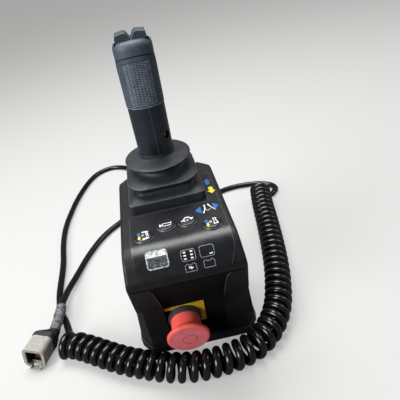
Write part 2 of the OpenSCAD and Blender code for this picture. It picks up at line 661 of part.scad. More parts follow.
// Cap with a slot for the thumb rocker
cap_round = 5;
slot_half = [12.2, 6.5];
slot_floor_z = handle_top_z - 10.5;
rocker_z = handle_top_z - 6.5;
rocker_pin_r = 1.25;
module rocker_bore(r, l) translate([stick_x, 0, rocker_z]) rotate([90, 0, 0])
    cylinder(r = r, h = l, center = true);
module handle_cap() color([0.24, 0.27, 0.32]) difference() {
    union() {
        difference() {
            handle_solid(cap_z - cap_round, handle_top_z - cap_round);
            below_cap_plane(0);
        }
        hull() for (a = [0 : 22.5 : 90]) translate([stick_x, 0,
            handle_top_z - cap_round + cap_round * sin(a) - slice])
            linear_extrude(slice) polygon(section(cap_round * (1 - cos(a))));
    }
    translate([stick_x - slot_half[0], -slot_half[1], slot_floor_z])
        cube([2 * slot_half[0], 2 * slot_half[1], handle_top_z]);
    rocker_bore(rocker_pin_r, 2 * (slot_half[1] + wall));
}
module rocker_pin() color([0.75, 0.76, 0.78]) rocker_bore(rocker_pin_r, 2 * (slot_half[1] + wall));

// Thumb rocker: two ears with a valley between them, tilting about the pin
rocker_half = 10.6;
ear_out = 11.2;
ear_tops = [5.6, 10.5, 11.4];
valley = 6.6;
module rocker() color([0.26, 0.3, 0.35]) difference() {
    translate([stick_x, slot_half[1] - seat_gap, rocker_z])
        along_y(2 * (slot_half[1] - seat_gap)) polygon(concat(
            [for (s = [-1, 1]) each s < 0 ? [[-2.2, -2.2], [-rocker_half, 1.5],
                [-rocker_half, 6.2], [-ear_out, 7.2], [-ear_out + 0.7, ear_tops[1]],
                [-4.2, ear_tops[2]], [-2.4, ear_tops[1]], [0, valley]]
                : [[2.4, ear_tops[1]], [4.2, ear_tops[2]], [ear_out - 0.7, ear_tops[1]],
                [ear_out, 7.2], [rocker_half, 6.2], [rocker_half, 1.5], [2.2, -2.2]]]));
    rocker_bore(rocker_pin_r + run_gap, 3 * slot_half[1]);
}

// Trigger on the far side of the handle
module trigger() color([0.24, 0.27, 0.32]) difference() {
    translate([stick_x, trigger_hinge[0], trigger_hinge[1]])
        along_x(2 * (pocket_half - seat_gap)) polygon(concat(
            arc([0, 0], trigger_eye_r, 60, 180, 4),
            [for (p = trigger_outline) [p[0], p[1] * trigger_h]]));
    along_lever_x(trigger_hinge[0], trigger_hinge[1], trigger_pin_r + run_gap, 3 * pocket_half);
}
module trigger_pin() color([0.75, 0.76, 0.78])
    along_lever_x(trigger_hinge[0], trigger_hinge[1], trigger_pin_r, 2 * (pocket_half + wall));

// Stop button: everything is drawn along the button's own axis from the panel
plate_t = 0.8;
plate_right = 20.7;
plate_box = [[recess_x - recess_w / 2 + seat_gap, stop_x + plate_right], [37.5, 68]];
plate_strip = 4;
collar_h = 6.5;
collar_floor = 1.8;
plunger_r = 5;
plunger_len = 24;
nut_h = 5;
nut_r = 15;
module stop_plate() color([0.85, 0.68, 0.1]) difference() {
    intersection() {
        at_stop() translate([-top_w, -top_w, 0]) cube([2 * top_w, 2 * top_w, plate_t]);
        translate([plate_box[0][0], -2 * nose_y, plate_box[1][0]])
            cube([plate_box[0][1] - plate_box[0][0], 2 * nose_y, plate_box[1][1] - plate_box[1][0]]);
    }
    at_stop() translate([0, 0, -over]) cylinder(r = collar_or + seat_gap, h = plate_t + 2 * over);
    translate([-top_w, -2 * nose_y, 0]) cube([top_w + stop_x, 2 * nose_y, plate_box[1][1] - plate_strip]);
}
module stop_gasket() color([0.1, 0.1, 0.1]) at_stop() difference() {
    cylinder(r = collar_or - seat_gap, h = plate_t);
    translate([0, 0, -over]) cylinder(r = stop_thread_r + loose_gap, h = plate_t + 2 * over);
}
module stop_collar() color([0.3, 0.31, 0.33]) at_stop() difference() {
    union() {
        translate([0, 0, plate_t]) rotate_extrude() polygon(concat([[0, 0], [collar_or, 0]],
            [for (a = [0 : 30 : 90]) [collar_or - plate_t * (1 - cos(a)),
                collar_h - 2 * plate_t + plate_t * sin(a)]], [[0, collar_h - plate_t]]));
        translate([0, 0, -wall - nut_h - 2 * wall]) cylinder(r = stop_thread_r,
            h = 3 * wall + nut_h + plate_t + slice);
    }
    translate([0, 0, collar_floor]) cylinder(r = neck_r + loose_gap, h = collar_h);
    translate([0, 0, -plunger_len - over]) cylinder(r = plunger_r + run_gap, h = 2 * plunger_len);
}
module stop_nut() color([0.6, 0.61, 0.63]) at_stop() translate([0, 0, -wall - nut_h]) difference() {
    cylinder(r = nut_r, h = nut_h, $fn = 6);
    translate([0, 0, -over]) cylinder(r = stop_thread_r + loose_gap, h = nut_h + 2 * over);
}
flare_z = [18, 23.6];
face_round = 1.6;
module stop_head() color([0.85, 0.15, 0.12]) at_stop() rotate_extrude() polygon(concat(
    [[0, collar_h - loose_gap], [neck_r, collar_h - loose_gap], [neck_r, flare_z[0]]],
    [for (k = [1 : 5]) let (t = k / 5) [neck_r + (head_r - neck_r) * t,
        flare_z[0] + (flare_z[1] - flare_z[0]) * pow(t, 0.6)]],
    [for (a = [0 : 30 : 90]) [head_r - face_round * (1 - cos(a)),
        head_reach - face_round + face_round * sin(a)]],
    [[0, head_reach]]));
module stop_plunger() color([0.8, 0.8, 0.8]) at_stop() translate([0, 0, collar_h - loose_gap - plunger_len])
    cylinder(r = plunger_r, h = plunger_len);
block_size = [26, 24, 22];
module contact_block() color([0.12, 0.12, 0.13]) at_stop() difference() {
    translate([-block_size[0] / 2, -block_size[1] / 2, -3 * wall - nut_h - seat_gap - block_size[2]])
        cube(block_size);
    translate([0, 0, collar_h - plunger_len - 2 * stop_travel])
        cylinder(r = plunger_r + loose_gap, h = plunger_len);
}

// Cable gland: threaded body, domed nut and the rubber seal that grips the cable
gland_flange_r = 10;
gland_flange_t = 4;
gland_nut_h = 12;
gland_nut_r = 8.6;
cable_r = cable_d / 2;
seal_r = cable_r + 1.4;
module cable_gland() color([0.1, 0.1, 0.11]) at_gland() difference() {
    union() {
        cylinder(r = gland_flange_r, h = gland_flange_t, $fn = 6);
        translate([0, 0, -3 * wall]) cylinder(r = gland_r, h = 3 * wall + slice);
    }
    translate([0, 0, -3 * wall - over]) cylinder(r = cable_r, h = 4 * wall + gland_flange_t);
}
module gland_nut() color([0.12, 0.12, 0.13]) at_gland() translate([0, 0, gland_flange_t]) difference() {
    rotate_extrude() polygon([[0, 0], [gland_nut_r, 0], [gland_nut_r, 0.6 * gland_nut_h],
        [gland_nut_r - 0.6, 0.8 * gland_nut_h], [seal_r + 0.8, gland_nut_h], [0, gland_nut_h]]);
    translate([0, 0, -over]) cylinder(r = seal_r, h = gland_nut_h + 2 * over);
}
module gland_seal() color([0.05, 0.05, 0.05]) at_gland() translate([0, 0, gland_flange_t])
    cylinder(r = seal_r - run_gap / 2, h = gland_nut_h);

// Tube swept along points: rings stand square to the run and share one up direction
function unit(v) = v / norm(v);
function run_dir(p, k) = unit(p[min(k + 1, len(p) - 1)] - p[max(k - 1, 0)]);
function ring(c, t, up, r, sides) = let (e = unit(cross(t, up)), f = cross(e, t))
    [for (j = [0 : sides - 1]) c + r * (cos(360 * j / sides) * e + sin(360 * j / sides) * f)];
module tube(points, r, sides, ups) {
    n = len(points);
    rings = [for (k = [0 : n - 1]) each ring(points[k], run_dir(points, k),
        ups == undef ? [0, 0, 1] : ups[k], r, sides)];
    walls = [for (k = [0 : n - 2]) for (j = [0 : sides - 1]) let (a = k * sides + j,
        b = k * sides + (j + 1) % sides) each [[a, b, b + sides], [a, b + sides, a + sides]]];
    polyhedron(rings, concat([[for (j = [sides - 1 : -1 : 0]) j]], walls,
        [[for (j = [0 : sides - 1]) (n - 1) * sides + j]]));
}

// Middle line of the coiled stretch on the table, from the far right to the near left
coil_r = (coil_od - cable_d) / 2;
coil_z = coil_od / 2 + 0.1;
coil_route = [[133, 190], [129, 170], [125, 148], [121.5, 124], [118, 102], [114.5, 81],
    [111, 62], [107.5, 44], [103.5, 26], [99.5, 10], [95, -5], [89, -23], [80, -41], [67, -58],
    [50, -71], [29, -78], [6, -80.5], [-16, -79.5], [-38, -74], [-60, -65], [-80, -55],
    [-99, -43], [-117, -31], [-132, -22.5], [-146, -19]];
function spline(p0, p1, p2, p3, t) = 0.5 * (2 * p1 + (p2 - p0) * t
    + (2 * p0 - 5 * p1 + 4 * p2 - p3) * t * t + (3 * p1 - 3 * p2 + p3 - p0) * t * t * t);
fine_steps = 5;
function fine(p) = [for (k = [0 : len(p) - 2]) for (s = [0 : fine_steps - 1])
    spline(p[max(k - 1, 0)], p[k], p[k + 1], p[min(k + 2, len(p) - 1)], s / fine_steps), p[len(p) - 1]];
coil_line = fine(coil_route);
coil_n = len(coil_line);
function running(v) = [for (k = 0, a = 0; k < len(v); a = a + v[k], k = k + 1) a];
function line_turn(k) = let (a = coil_line[k] - coil_line[max(k - 1, 0)],
    b = coil_line[k + 1] - coil_line[k]) k == 0 ? 0 : abs(atan2(cross(a, b), a * b));
coil_spans = [for (k = [0 : coil_n - 1]) k < coil_n - 1 ? norm(coil_line[k + 1] - coil_line[k]) : 0];
// Curls lie further apart where the line bends, so that the inner sides keep their gap
bend_spread = 0.75;
coil_turns = [for (k = [0 : coil_n - 1]) k < coil_n - 1
    ? coil_spans[k] - bend_spread * coil_r * line_turn(k) * PI / 180 : 0];
coil_t = running(coil_turns);
turn_of = [for (k = [0 : coil_n - 1]) [coil_t[k] / coil_t[coil_n - 1], k]];
line_x = [for (k = [0 : coil_n - 1]) [k, coil_line[k][0]]];
line_y = [for (k = [0 : coil_n - 1]) [k, coil_line[k][1]]];
function on_line(u) = let (k = lookup(u, turn_of)) [lookup(k, line_x), lookup(k, line_y)];
function line_dir(u) = unit(on_line(min(u + 0.004, 1)) - on_line(max(u - 0.004, 0)));
curl_rings = 8;
curl_sides = 6;
function curl_point(i) = let (u = i / (coil_curls * curl_rings), c = on_line(u), t = line_dir(u),
    a = 360 * i / curl_rings - 90) [c[0] + coil_r * cos(a) * t[1], c[1] - coil_r * cos(a) * t[0],
    coil_z + coil_r * sin(a)];
curls = [for (i = [0 : coil_curls * curl_rings]) curl_point(i)];
last_curl = coil_curls * curl_rings;
coil_in_dir = unit([line_dir(0)[1], -line_dir(0)[0], 0]);
coil_out_dir = unit([line_dir(1)[1], -line_dir(1)[0], 0]);
coil_in = curls[0] - cable_d * coil_in_dir;
coil_out = curls[last_curl] + cable_d * coil_out_dir;
coil_points = concat([coil_in], curls, [coil_out]);
coil_ups = [for (k = [0 : len(coil_points) - 1]) let (i = min(max(k - 1, 0), last_curl),
    c = on_line(i / last_curl)) [c[0], c[1], coil_z] - coil_points[min(max(k, 1), last_curl + 1)]];
// Least distance between one curl's line and the next, less the cable's diameter
coil_gap = min([for (i = [0 : last_curl]) for (j = [i + curl_rings / 2 + 1 :
    min(i + 2 * curl_rings, last_curl)]) norm(curls[i] - curls[j])]) - cable_d;
echo(least_gap_of_the_coil_to_itself = coil_gap);

module coil() color([0.04, 0.04, 0.05]) tube(coil_points, cable_r, curl_sides, coil_ups);

// Lead from the gland, round behind the box, to the coil's far end
gland_mouth = [gland_x, back_y(gland_z) + (gland_flange_t + gland_nut_h) * cos(back_lean),
    gland_z + (gland_flange_t + gland_nut_h) * sin(back_lean)];
gland_run = [0, cos(back_lean), sin(back_lean)];
lead_right_route = [[14, 86, 21], [17, 104, 12], [21, 121, 6], [26, 140, 4.2], [32, 160, 4.2],
    [40, 180, 4.2], [50, 199, 4.2], [63, 214, 4.2], [80, 224, 4.2], [100, 228, 4.2], [121, 227, 4.2],
    [141, 222, 4.2], [156, 212, 4.2], [160, 200, 4.2], [154, 191, 4.2]];
lead_right_points = concat([gland_mouth, gland_mouth + cable_d * gland_run], lead_right_route,
    [coil_in - cable_d * coil_in_dir, coil_in]);
module lead_right() color([0.05, 0.05, 0.06]) tube(lead_right_points, cable_r, 10);

// Lead from the coil's near end, out to the far left, back round to the connector
sleeve_route = [[-153.6, 41, 14.6], [-154.6, 32, 14.8], [-155.6, 22, 15], [-156.8, 12, 15],
    [-158.4, 4, 15]];
sleeve_run = unit(sleeve_route[1] - sleeve_route[0]);
lead_left_route = [[-150, 22, 4.2], [-156, 36, 4.2], [-160.5, 52, 4.2], [-163, 72, 4.2],
    [-163.5, 94, 4.2], [-163.5, 116, 4.2], [-164.5, 140, 4.2], [-167, 164, 4.2],
    [-168.5, 188, 4.2], [-168.5, 212, 4.2], [-166.5, 236, 4.2], [-162.5, 260, 4.2],
    [-158, 284, 4.2], [-152, 307, 4.2], [-144.5, 330, 4.2], [-136, 351, 4.2], [-125, 369, 4.2],
    [-111, 380, 4.2], [-95, 384, 4.2], [-80, 380, 4.2], [-64, 369, 4.2], [-49, 353, 4.2],
    [-36, 334, 4.2], [-28, 312, 4.2], [-26, 289, 4.2], [-32, 266, 4.2], [-43, 245, 4.2],
    [-56, 227, 4.2], [-70, 212, 4.2], [-84, 199, 4.2], [-98, 186, 4.2], [-111, 170, 4.2],
    [-122, 151, 4.2], [-131.5, 131, 4.2], [-139, 110, 4.8], [-145, 90, 6.8], [-149.5, 72, 9.8]];
lead_left_points = concat([coil_out, coil_out + cable_d * coil_out_dir], lead_left_route,
    [sleeve_route[0] - cable_d * sleeve_run, sleeve_route[0]]);
module lead_left() color([0.05, 0.05, 0.06]) tube(lead_left_points, cable_r, 10);
sleeve_r = 6.2;
module shrink_sleeve() color([0.3, 0.3, 0.33]) tube(sleeve_route, sleeve_r, 12);
function route_len(p) = len(p) < 2 ? 0 : let (d = [for (k = [0 : len(p) - 2]) norm(p[k + 1] - p[k])])
    d * [for (k = [0 : len(d) - 1]) 1];
echo(lengths = [route_len(lead_right_points), route_len(coil_points), route_len(lead_left_points)]);

// Frame of the connector: origin in the middle of its mouth, local Y towards the cable
conn_at = [-175.5, -30, 17.6];
conn_turn = [-8, 10, -16];
module at_connector() translate(conn_at) rotate([0, 0, conn_turn[2]]) rotate([conn_turn[0], 0, 0])
    rotate([0, conn_turn[1], 0]) children();
conn_round = 5;
mouth_wall = 2.9;
corner_steps = 5;
function round_rect(hx, hz, r) = [for (q = [0 : 3]) each [for (k = [0 : corner_steps])
    let (a = 90 * q + 90 * k / corner_steps, sx = (q == 0 || q == 3) ? 1 : -1, sz = q < 2 ? 1 : -1)
    [sx * (hx - r) + r * cos(a), sz * (hz - r) + r * sin(a)]]];
module conn_bar(y0, y1, grow) translate([0, y1, 0]) along_y(y1 - y0)
    polygon(round_rect(conn_w / 2 + grow, conn_h / 2 + grow, conn_round + grow));
rim_len = 3;
rim_proud = 0.5;
notch_half = 6.2;
module connector_shell() color([0.62, 0.61, 0.59]) at_connector() difference() {
    union() {
        conn_bar(0, conn_len, 0);
        conn_bar(0, rim_len, rim_proud);
    }
    conn_bar(-over, mouth_depth, -mouth_wall);
    translate([-notch_half, -over, -conn_h])
        cube([2 * notch_half, over + 2 * rim_len, conn_h / 2 + mouth_wall]);
}
latch_drop = 3.4;
latch_t = 1.5;
latch_half = 6;
module connector_latch() color([0.58, 0.57, 0.55]) at_connector() union() {
    for (side = [-1, 1]) translate([side * (latch_half - latch_t / 2), 0, 0]) along_x(latch_t)
        polygon([[2 * rim_len - loose_gap, -conn_h / 2 + mouth_wall - latch_t],
            [2 * rim_len - loose_gap, -conn_h / 2], [rim_len, -conn_h / 2 - latch_drop],
            [-latch_t, -conn_h / 2 - latch_drop], [-latch_t, -conn_h / 2 - latch_drop + 2 * latch_t],
            [rim_len / 2, -conn_h / 2 + mouth_wall - latch_t]]);
    translate([-latch_half, -latch_t, -conn_h / 2 - latch_drop])
        cube([2 * latch_half, rim_len + latch_t, latch_t]);
    translate([-latch_half, 2 * rim_len - loose_gap - latch_t, -conn_h / 2])
        cube([2 * latch_half, latch_t, mouth_wall - latch_t]);
}
block_t = 5;
cavity_r = 1.4;
cavity_at = [5.8, 5.2];
wedge_half = [3.3, 6.8];
module terminal_block() color([0.1, 0.1, 0.12]) at_connector() difference() {
    conn_bar(mouth_depth - block_t, mouth_depth, -mouth_wall - loose_gap);
    for (side = [-1, 1]) for (row = [-1 : 1])
        translate([side * cavity_at[0], mouth_depth - block_t / 3, row * cavity_at[1]])
        rotate([90, 0, 0]) cylinder(r = cavity_r, h = block_t);
    translate([-wedge_half[0] - loose_gap, 0, -wedge_half[1] - loose_gap])
        cube([2 * (wedge_half[0] + loose_gap), mouth_depth - over, 2 * (wedge_half[1] + loose_gap)]);
}
wedge_proud = 1.5;
module wedge_lock() color([0.75, 0.33, 0.1]) at_connector() difference() {
    translate([-wedge_half[0], mouth_depth - block_t - wedge_proud, -wedge_half[1]])
        cube([2 * wedge_half[0], block_t + wedge_proud - over - loose_gap, 2 * wedge_half[1]]);
    translate([-wedge_half[0] / 2, 0, 0])
        cube([wedge_half[0], mouth_depth - block_t, wedge_half[1] - over]);
}
boot_grip = 4;
module connector_boot() color([0.1, 0.1, 0.11]) {
    end = sleeve_route[len(sleeve_route) - 1];
    back = unit(sleeve_route[len(sleeve_route) - 2] - end);
    yaw = atan2(-back[0], back[1]);
    hull() {
        at_connector() conn_bar(conn_len, conn_len + boot_grip, rim_proud);
        translate(end) rotate([0, 0, yaw]) rotate([90, 0, 0])
            cylinder(r = sleeve_r + over, h = over, $fn = 32);
    }
}

housing();
base_cover();
base_screws();
cover_inserts();
panel_overlay();
display_window();
display_module();
circuit_board();
board_screws();
board_header();
boot();
boot_clamp();
clamp_screws();
joystick_bracket();
pivot_bushes();
centring_springs();
angle_sensor();
stop_plate();
stop_collar();
stop_gasket();
stop_nut();
contact_block();
cable_gland();
gland_nut();
gland_seal();
lead_right();
coil();
lead_left();
shrink_sleeve();
connector_boot();
connector_shell();
connector_latch();
terminal_block();
wedge_lock();
pivot_pin();
lever_hub();
lever_shaft();
handle_grip();
handle_cap();
grip_pad();
handle_screw();
rocker();
rocker_pin();
trigger();
trigger_pin();
lift_button();
horn_button();
slow_button();
drive_button();
stop_head();
stop_plunger();
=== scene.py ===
import json
import math

import bmesh
import bpy
from mathutils import Matrix, Vector
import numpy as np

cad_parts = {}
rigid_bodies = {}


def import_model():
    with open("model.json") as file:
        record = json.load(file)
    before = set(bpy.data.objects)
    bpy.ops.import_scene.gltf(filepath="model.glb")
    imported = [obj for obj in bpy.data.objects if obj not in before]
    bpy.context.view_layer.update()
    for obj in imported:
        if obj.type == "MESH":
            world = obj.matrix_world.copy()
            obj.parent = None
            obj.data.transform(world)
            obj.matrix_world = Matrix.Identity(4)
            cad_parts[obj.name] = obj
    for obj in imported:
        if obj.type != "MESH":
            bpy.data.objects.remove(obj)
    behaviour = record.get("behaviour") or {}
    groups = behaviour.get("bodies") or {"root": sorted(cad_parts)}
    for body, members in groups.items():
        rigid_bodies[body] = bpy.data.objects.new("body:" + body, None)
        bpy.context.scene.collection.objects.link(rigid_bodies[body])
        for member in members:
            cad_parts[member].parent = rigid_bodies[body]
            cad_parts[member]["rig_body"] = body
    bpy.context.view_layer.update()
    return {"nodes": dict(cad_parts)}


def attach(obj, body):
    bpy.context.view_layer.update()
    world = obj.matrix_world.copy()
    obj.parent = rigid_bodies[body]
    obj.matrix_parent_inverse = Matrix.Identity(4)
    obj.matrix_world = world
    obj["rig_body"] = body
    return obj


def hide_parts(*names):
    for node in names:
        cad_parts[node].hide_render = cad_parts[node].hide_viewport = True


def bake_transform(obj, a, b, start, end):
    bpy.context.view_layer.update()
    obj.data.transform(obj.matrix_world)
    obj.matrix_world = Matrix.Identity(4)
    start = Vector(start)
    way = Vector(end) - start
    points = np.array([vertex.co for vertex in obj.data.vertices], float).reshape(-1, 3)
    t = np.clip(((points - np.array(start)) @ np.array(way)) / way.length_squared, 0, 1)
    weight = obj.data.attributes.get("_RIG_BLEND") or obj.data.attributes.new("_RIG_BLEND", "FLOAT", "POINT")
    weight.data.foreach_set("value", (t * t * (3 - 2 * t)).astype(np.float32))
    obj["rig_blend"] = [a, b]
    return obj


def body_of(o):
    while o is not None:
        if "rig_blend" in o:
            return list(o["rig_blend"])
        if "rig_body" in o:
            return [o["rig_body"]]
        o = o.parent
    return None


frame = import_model()
NODES = frame["nodes"]
MM = 0.001


# Small helpers for sizes, colours, objects and nodes

def mm(*numbers):
    """A point or size given in millimetres, as a vector in metres."""
    return Vector(numbers) * MM


def around(count, start=0):
    """Angles of count stations spread evenly round a circle."""
    return [2 * math.pi * (k + start) / count for k in range(count)]


def linear(code):
    """Linear colour of an sRGB hex value."""
    channels = [int(code[k:k + 2], 16) / 255 for k in (0, 2, 4)]
    return [c / 12.92 if c <= 0.04045 else ((c + 0.055) / 1.055) ** 2.4 for c in channels] + [1.0]


def per_metre(size_mm):
    """Texture scale at which one feature is size_mm across."""
    return 1 / (size_mm * MM)


def new_object(name, data):
    """A new object of this data, in the scene."""
    made = bpy.data.objects.new(name, data)
    bpy.context.scene.collection.objects.link(made)
    return made


def empty_tree(holder):
    """The node tree of a material or world, cleared."""
    holder.use_nodes = True
    holder.node_tree.nodes.clear()
    return holder.node_tree


def add(tree, kind, inputs=None, **settings):
    """Adds a shader node with its settings, its values and its links."""
    made = tree.nodes.new("ShaderNode" + kind)
    for name, value in settings.items():
        setattr(made, name, value)
    for name, value in (inputs or {}).items():
        socket = made.inputs[name]
        if isinstance(value, bpy.types.NodeSocket):
            tree.links.new(value, socket)
        else:
            socket.default_value = value
    return made


# Camera at the photograph's angle: the picture is turned by its roll. The photograph's size, the
# focal length and the point on the optical axis are in its pixels.

PHOTO_SIZE = 400
FOCAL = 400
CENTRE = (184.7, 238.1)
SENSOR_MM = 36
AZIMUTH, ELEVATION, ROLL = (math.radians(a) for a in (-0.82, 38.44, 12.21))
EYE = mm(1.3, -303.6, 347.8)


def make_camera():
    """The camera, rolled, with the shift that the photograph's framing needs."""
    forward = Vector((-math.sin(AZIMUTH) * math.cos(ELEVATION),
                      math.cos(AZIMUTH) * math.cos(ELEVATION), -math.sin(ELEVATION)))
    level = Vector((math.cos(AZIMUTH), math.sin(AZIMUTH), 0))
    down = forward.cross(level)
    right = math.cos(ROLL) * level + math.sin(ROLL) * down
    lower = -math.sin(ROLL) * level + math.cos(ROLL) * down
    data = bpy.data.cameras.new("camera")
    data.sensor_width = SENSOR_MM
    data.lens = SENSOR_MM * FOCAL / PHOTO_SIZE
    data.shift_x = (PHOTO_SIZE / 2 - CENTRE[0]) / PHOTO_SIZE
    data.shift_y = (CENTRE[1] - PHOTO_SIZE / 2) / PHOTO_SIZE
    data.clip_start = 0.01
    camera = new_object("camera", data)
    turn = Matrix((right, -lower, -forward)).transposed().to_4x4()
    camera.matrix_world = Matrix.Translation(EYE) @ turn
    bpy.context.scene.camera = camera


make_camera()


# Finishes

# Most values of a noise texture lie between these, so colour and gloss are spread over them
COLOUR_SPAN, GLOSS_SPAN = (0.35, 0.65), (0.3, 0.7)


def surface(name, inputs, build):
    """A material with one glossy shader. build(tree, where) returns more inputs from textures."""
    material = bpy.data.materials.new(name)
    tree = empty_tree(material)
    where = add(tree, "TexCoord").outputs["Object"]
    shader = add(tree, "BsdfPrincipled", {**inputs, **build(tree, where)})
    add(tree, "OutputMaterial", {"Surface": shader.outputs["BSDF"]})
    return material


def drift(tree, where, low, high, size_mm):
    """Colour that drifts between two hex values over patches of size_mm."""
    noise = add(tree, "TexNoise", {"Vector": where, "Scale": per_metre(size_mm), "Detail": 3.0})
    ramp = add(tree, "ValToRGB", {"Fac": noise.outputs["Fac"]})
    for element, position, code in zip(ramp.color_ramp.elements, COLOUR_SPAN, (low, high)):
        element.position, element.color = position, linear(code)
    return ramp.outputs["Color"]


def gloss(tree, where, low, high, size_mm):
    """Roughness that varies between low and high over patches of size_mm."""
    noise = add(tree, "TexNoise", {"Vector": where, "Scale": per_metre(size_mm), "Detail": 4.0})
    return add(tree, "MapRange", {
        "Value": noise.outputs["Fac"], "From Min": GLOSS_SPAN[0], "From Max": GLOSS_SPAN[1],
        "To Min": low, "To Max": high}).outputs["Result"]


def grain(tree, where, size_mm, depth_mm):
    """Bump of a fine even texture, such as spark-eroded moulds leave."""
    noise = add(tree, "TexNoise", {"Vector": where, "Scale": per_metre(size_mm), "Detail": 2.0})
    return add(tree, "Bump", {"Height": noise.outputs["Fac"], "Distance": depth_mm * MM,
                              "Strength": 0.5}).outputs["Normal"]


def moulded(name, low, high, rough, grain_mm=0.5, depth_mm=0.05, patch_mm=14, **more):
    """Moulded plastic or rubber: a slight drift in colour and gloss under a fine grain."""
    def build(tree, where):
        return {"Base Color": drift(tree, where, low, high, patch_mm),
                "Roughness": gloss(tree, where, rough[0], rough[1], patch_mm / 3),
                "Normal": grain(tree, where, grain_mm, depth_mm)}
    return surface(name, {socket.replace("_", " "): value for socket, value in more.items()}, build)


# ABS with a spark-eroded texture: satin near-black, its sheen broken up by a fine even grain.
# The real grain is about 0.1 mm; it is drawn coarser so that it shows.
housing_abs = moulded("abs_spark_eroded_black", "0f1013", "16171b", (0.46, 0.58), 0.6, 0.02,
                      Specular_IOR_Level=0.3)
# Its edges, coloured pale as painted highlight
edge_highlight = moulded("abs_painted_edge_highlight", "4a4c50", "6b6d71", (0.3, 0.45), 0.5, 0.01, 6)
# Inside the recess the same ABS: duller, and coloured nearly black as painted shade
recess_shade_abs = moulded("abs_dull_painted_shade", "08090b", "0d0e11", (0.8, 0.92), 0.8, 0.03,
                     Specular_IOR_Level=0.12)
# The cover and gland are plainer mouldings, a little greyer and duller than the housing
cover_abs = moulded("abs_moulded_charcoal", "17181b", "1f2023", (0.45, 0.58), 0.8, 0.03)
# Printed polyester film: black, a soft broad sheen from its matt top coat
membrane_film = moulded("polyester_film_black", "0c0d0f", "121316", (0.3, 0.38), 0.5, 0.008)
# Embossed keys of the same film, lightly rubbed on their domes
key_film = moulded("polyester_dome_black", "131417", "1b1c20", (0.3, 0.4), 0.5, 0.008, 5)
# Moulded EPDM rubber: dull blue-grey with a faint pale bloom
boot_epdm = moulded("epdm_rubber_boot", "171a1e", "20242a", (0.5, 0.66), 0.9, 0.04, 12)
# The boot's rims, coloured a paler grey as painted highlight
boot_rim_highlight = moulded("epdm_rubber_rim_highlight", "343a40", "454b52", (0.45, 0.6), 0.9, 0.02, 6)
# Glass-filled nylon of the grip: matt blue-grey, hardly any shine
grip_nylon = moulded("glass_filled_nylon_grip", "38424d", "434e5a", (0.5, 0.62), 0.5, 0.03, 10)
# The same nylon on the bare lower half, with a soft gloss, coloured darker as painted dark reflection
grip_dark_reflection = moulded("glass_filled_nylon_painted_dark", "161c24", "1e252e", (0.3, 0.42), 0.7,
                        0.015, 10)
# Its raised dashes and edges, rubbed pale
grip_worn = moulded("glass_filled_nylon_worn", "66717d", "818c97", (0.45, 0.55), 0.4, 0.02, 4)
# The rocker and trigger are moulded in a slightly lighter nylon
rocker_nylon = moulded("glass_filled_nylon_rocker", "2a323b", "343d47", (0.5, 0.6), 0.5, 0.03, 8)
# Polycarbonate mushroom head: even salmon red with a soft shine
stop_red = moulded("polycarbonate_red", "fa5b50", "ff6c60", (0.32, 0.42), 0.7, 0.01, 9)
# Its pressed face, coloured a duller, darker, pinker red as painted shade
stop_face_shade = moulded("polycarbonate_painted_shade", "dc6a72", "e6787e", (0.45, 0.58), 0.7, 0.02, 7)
# Shallow ring moulded in the face, coloured a darker red
stop_groove = moulded("polycarbonate_groove", "a8434a", "b54d54", (0.5, 0.6), 0.7, 0.01, 4)
# Nylon collar below the head, dark grey and dull
collar_nylon = moulded("nylon_dark_grey", "2c2e31", "383a3e", (0.5, 0.6), 0.6, 0.02)
# Vinyl plate under the stop button: ochre yellow with a satin coat
plate_vinyl = moulded("vinyl_plate_yellow", "c59a1a", "d3a824", (0.4, 0.5), 0.6, 0.01)
# PVC jacket: smooth, glossy and jet black, with long soft waves from the extruder
jacket_pvc = moulded("pvc_jacket_black", "08090b", "0f1013", (0.16, 0.26), 2.2, 0.03, 30)
# Shrunk polyolefin sleeve: mottled grey, dusty and dull
sleeve_polyolefin = moulded("polyolefin_sleeve", "26272b", "77797c", (0.45, 0.75), 1.2, 0.12, 3)
# Moulded rubber boot behind the connector
plug_rubber = moulded("tpe_connector_boot", "131416", "1c1d20", (0.5, 0.65), 0.8, 0.03)
# Glass-filled PBT of the connector: warm light grey with fine speckle
connector_pbt = moulded("glass_filled_pbt_grey", "96928b", "a9a59d", (0.45, 0.58), 0.4, 0.02, 3)
# Terminal block, black and slightly glossy
block_pbt = moulded("pbt_terminal_black", "121316", "1a1b1e", (0.4, 0.5), 0.5, 0.02)
# Wedge that locks the terminals: translucent-looking orange brown
wedge_pbt = moulded("pbt_wedge_orange", "5a2411", "733218", (0.35, 0.45), 0.5, 0.01, 3)
# Soft rubber of the gaskets and seal
gasket_nbr = moulded("nbr_gasket", "101012", "18181a", (0.6, 0.75), 0.6, 0.03)
# Phenolic and nylon housings of the parts inside
inner_nylon = moulded("nylon_switch_body", "1b1c1f", "25262a", (0.45, 0.55), 0.5, 0.02)
# Solder mask on the circuit board: glossy green over the faint copper
board_mask = moulded("solder_mask_green", "0d4a2a", "13603a", (0.25, 0.4), 1.0, 0.02, 2)


def zinc_plated(name, low, high, streak_mm):
    """Steel with bright zinc: streaks from rolling, 20 times as long as wide, show in its gloss."""
    def build(tree, where):
        stretched = add(tree, "Mapping", {"Vector": where, "Scale": (1, 1, 0.05)})
        streaks = gloss(tree, stretched.outputs["Vector"], 0.25, 0.45, streak_mm)
        return {"Base Color": drift(tree, where, low, high, 6), "Roughness": streaks,
                "Normal": grain(tree, stretched.outputs["Vector"], streak_mm, 0.02)}
    return surface(name, {"Metallic": 1.0}, build)


# Zinc-plated steel: bright grey with fine streaks
steel_zinc = zinc_plated("steel_zinc_plated", "b9bbbe", "c9cbcf", 0.6)
# Turned brass of the inserts and bushes
brass_turned = zinc_plated("brass_turned", "b08d45", "c19d54", 0.5)


def ink(name, low, high):
    """Screen-printed ink: flat colour, a little patchy where the mesh let less through."""
    return moulded(name, low, high, (0.4, 0.5), 0.4, 0.01, 1.5)


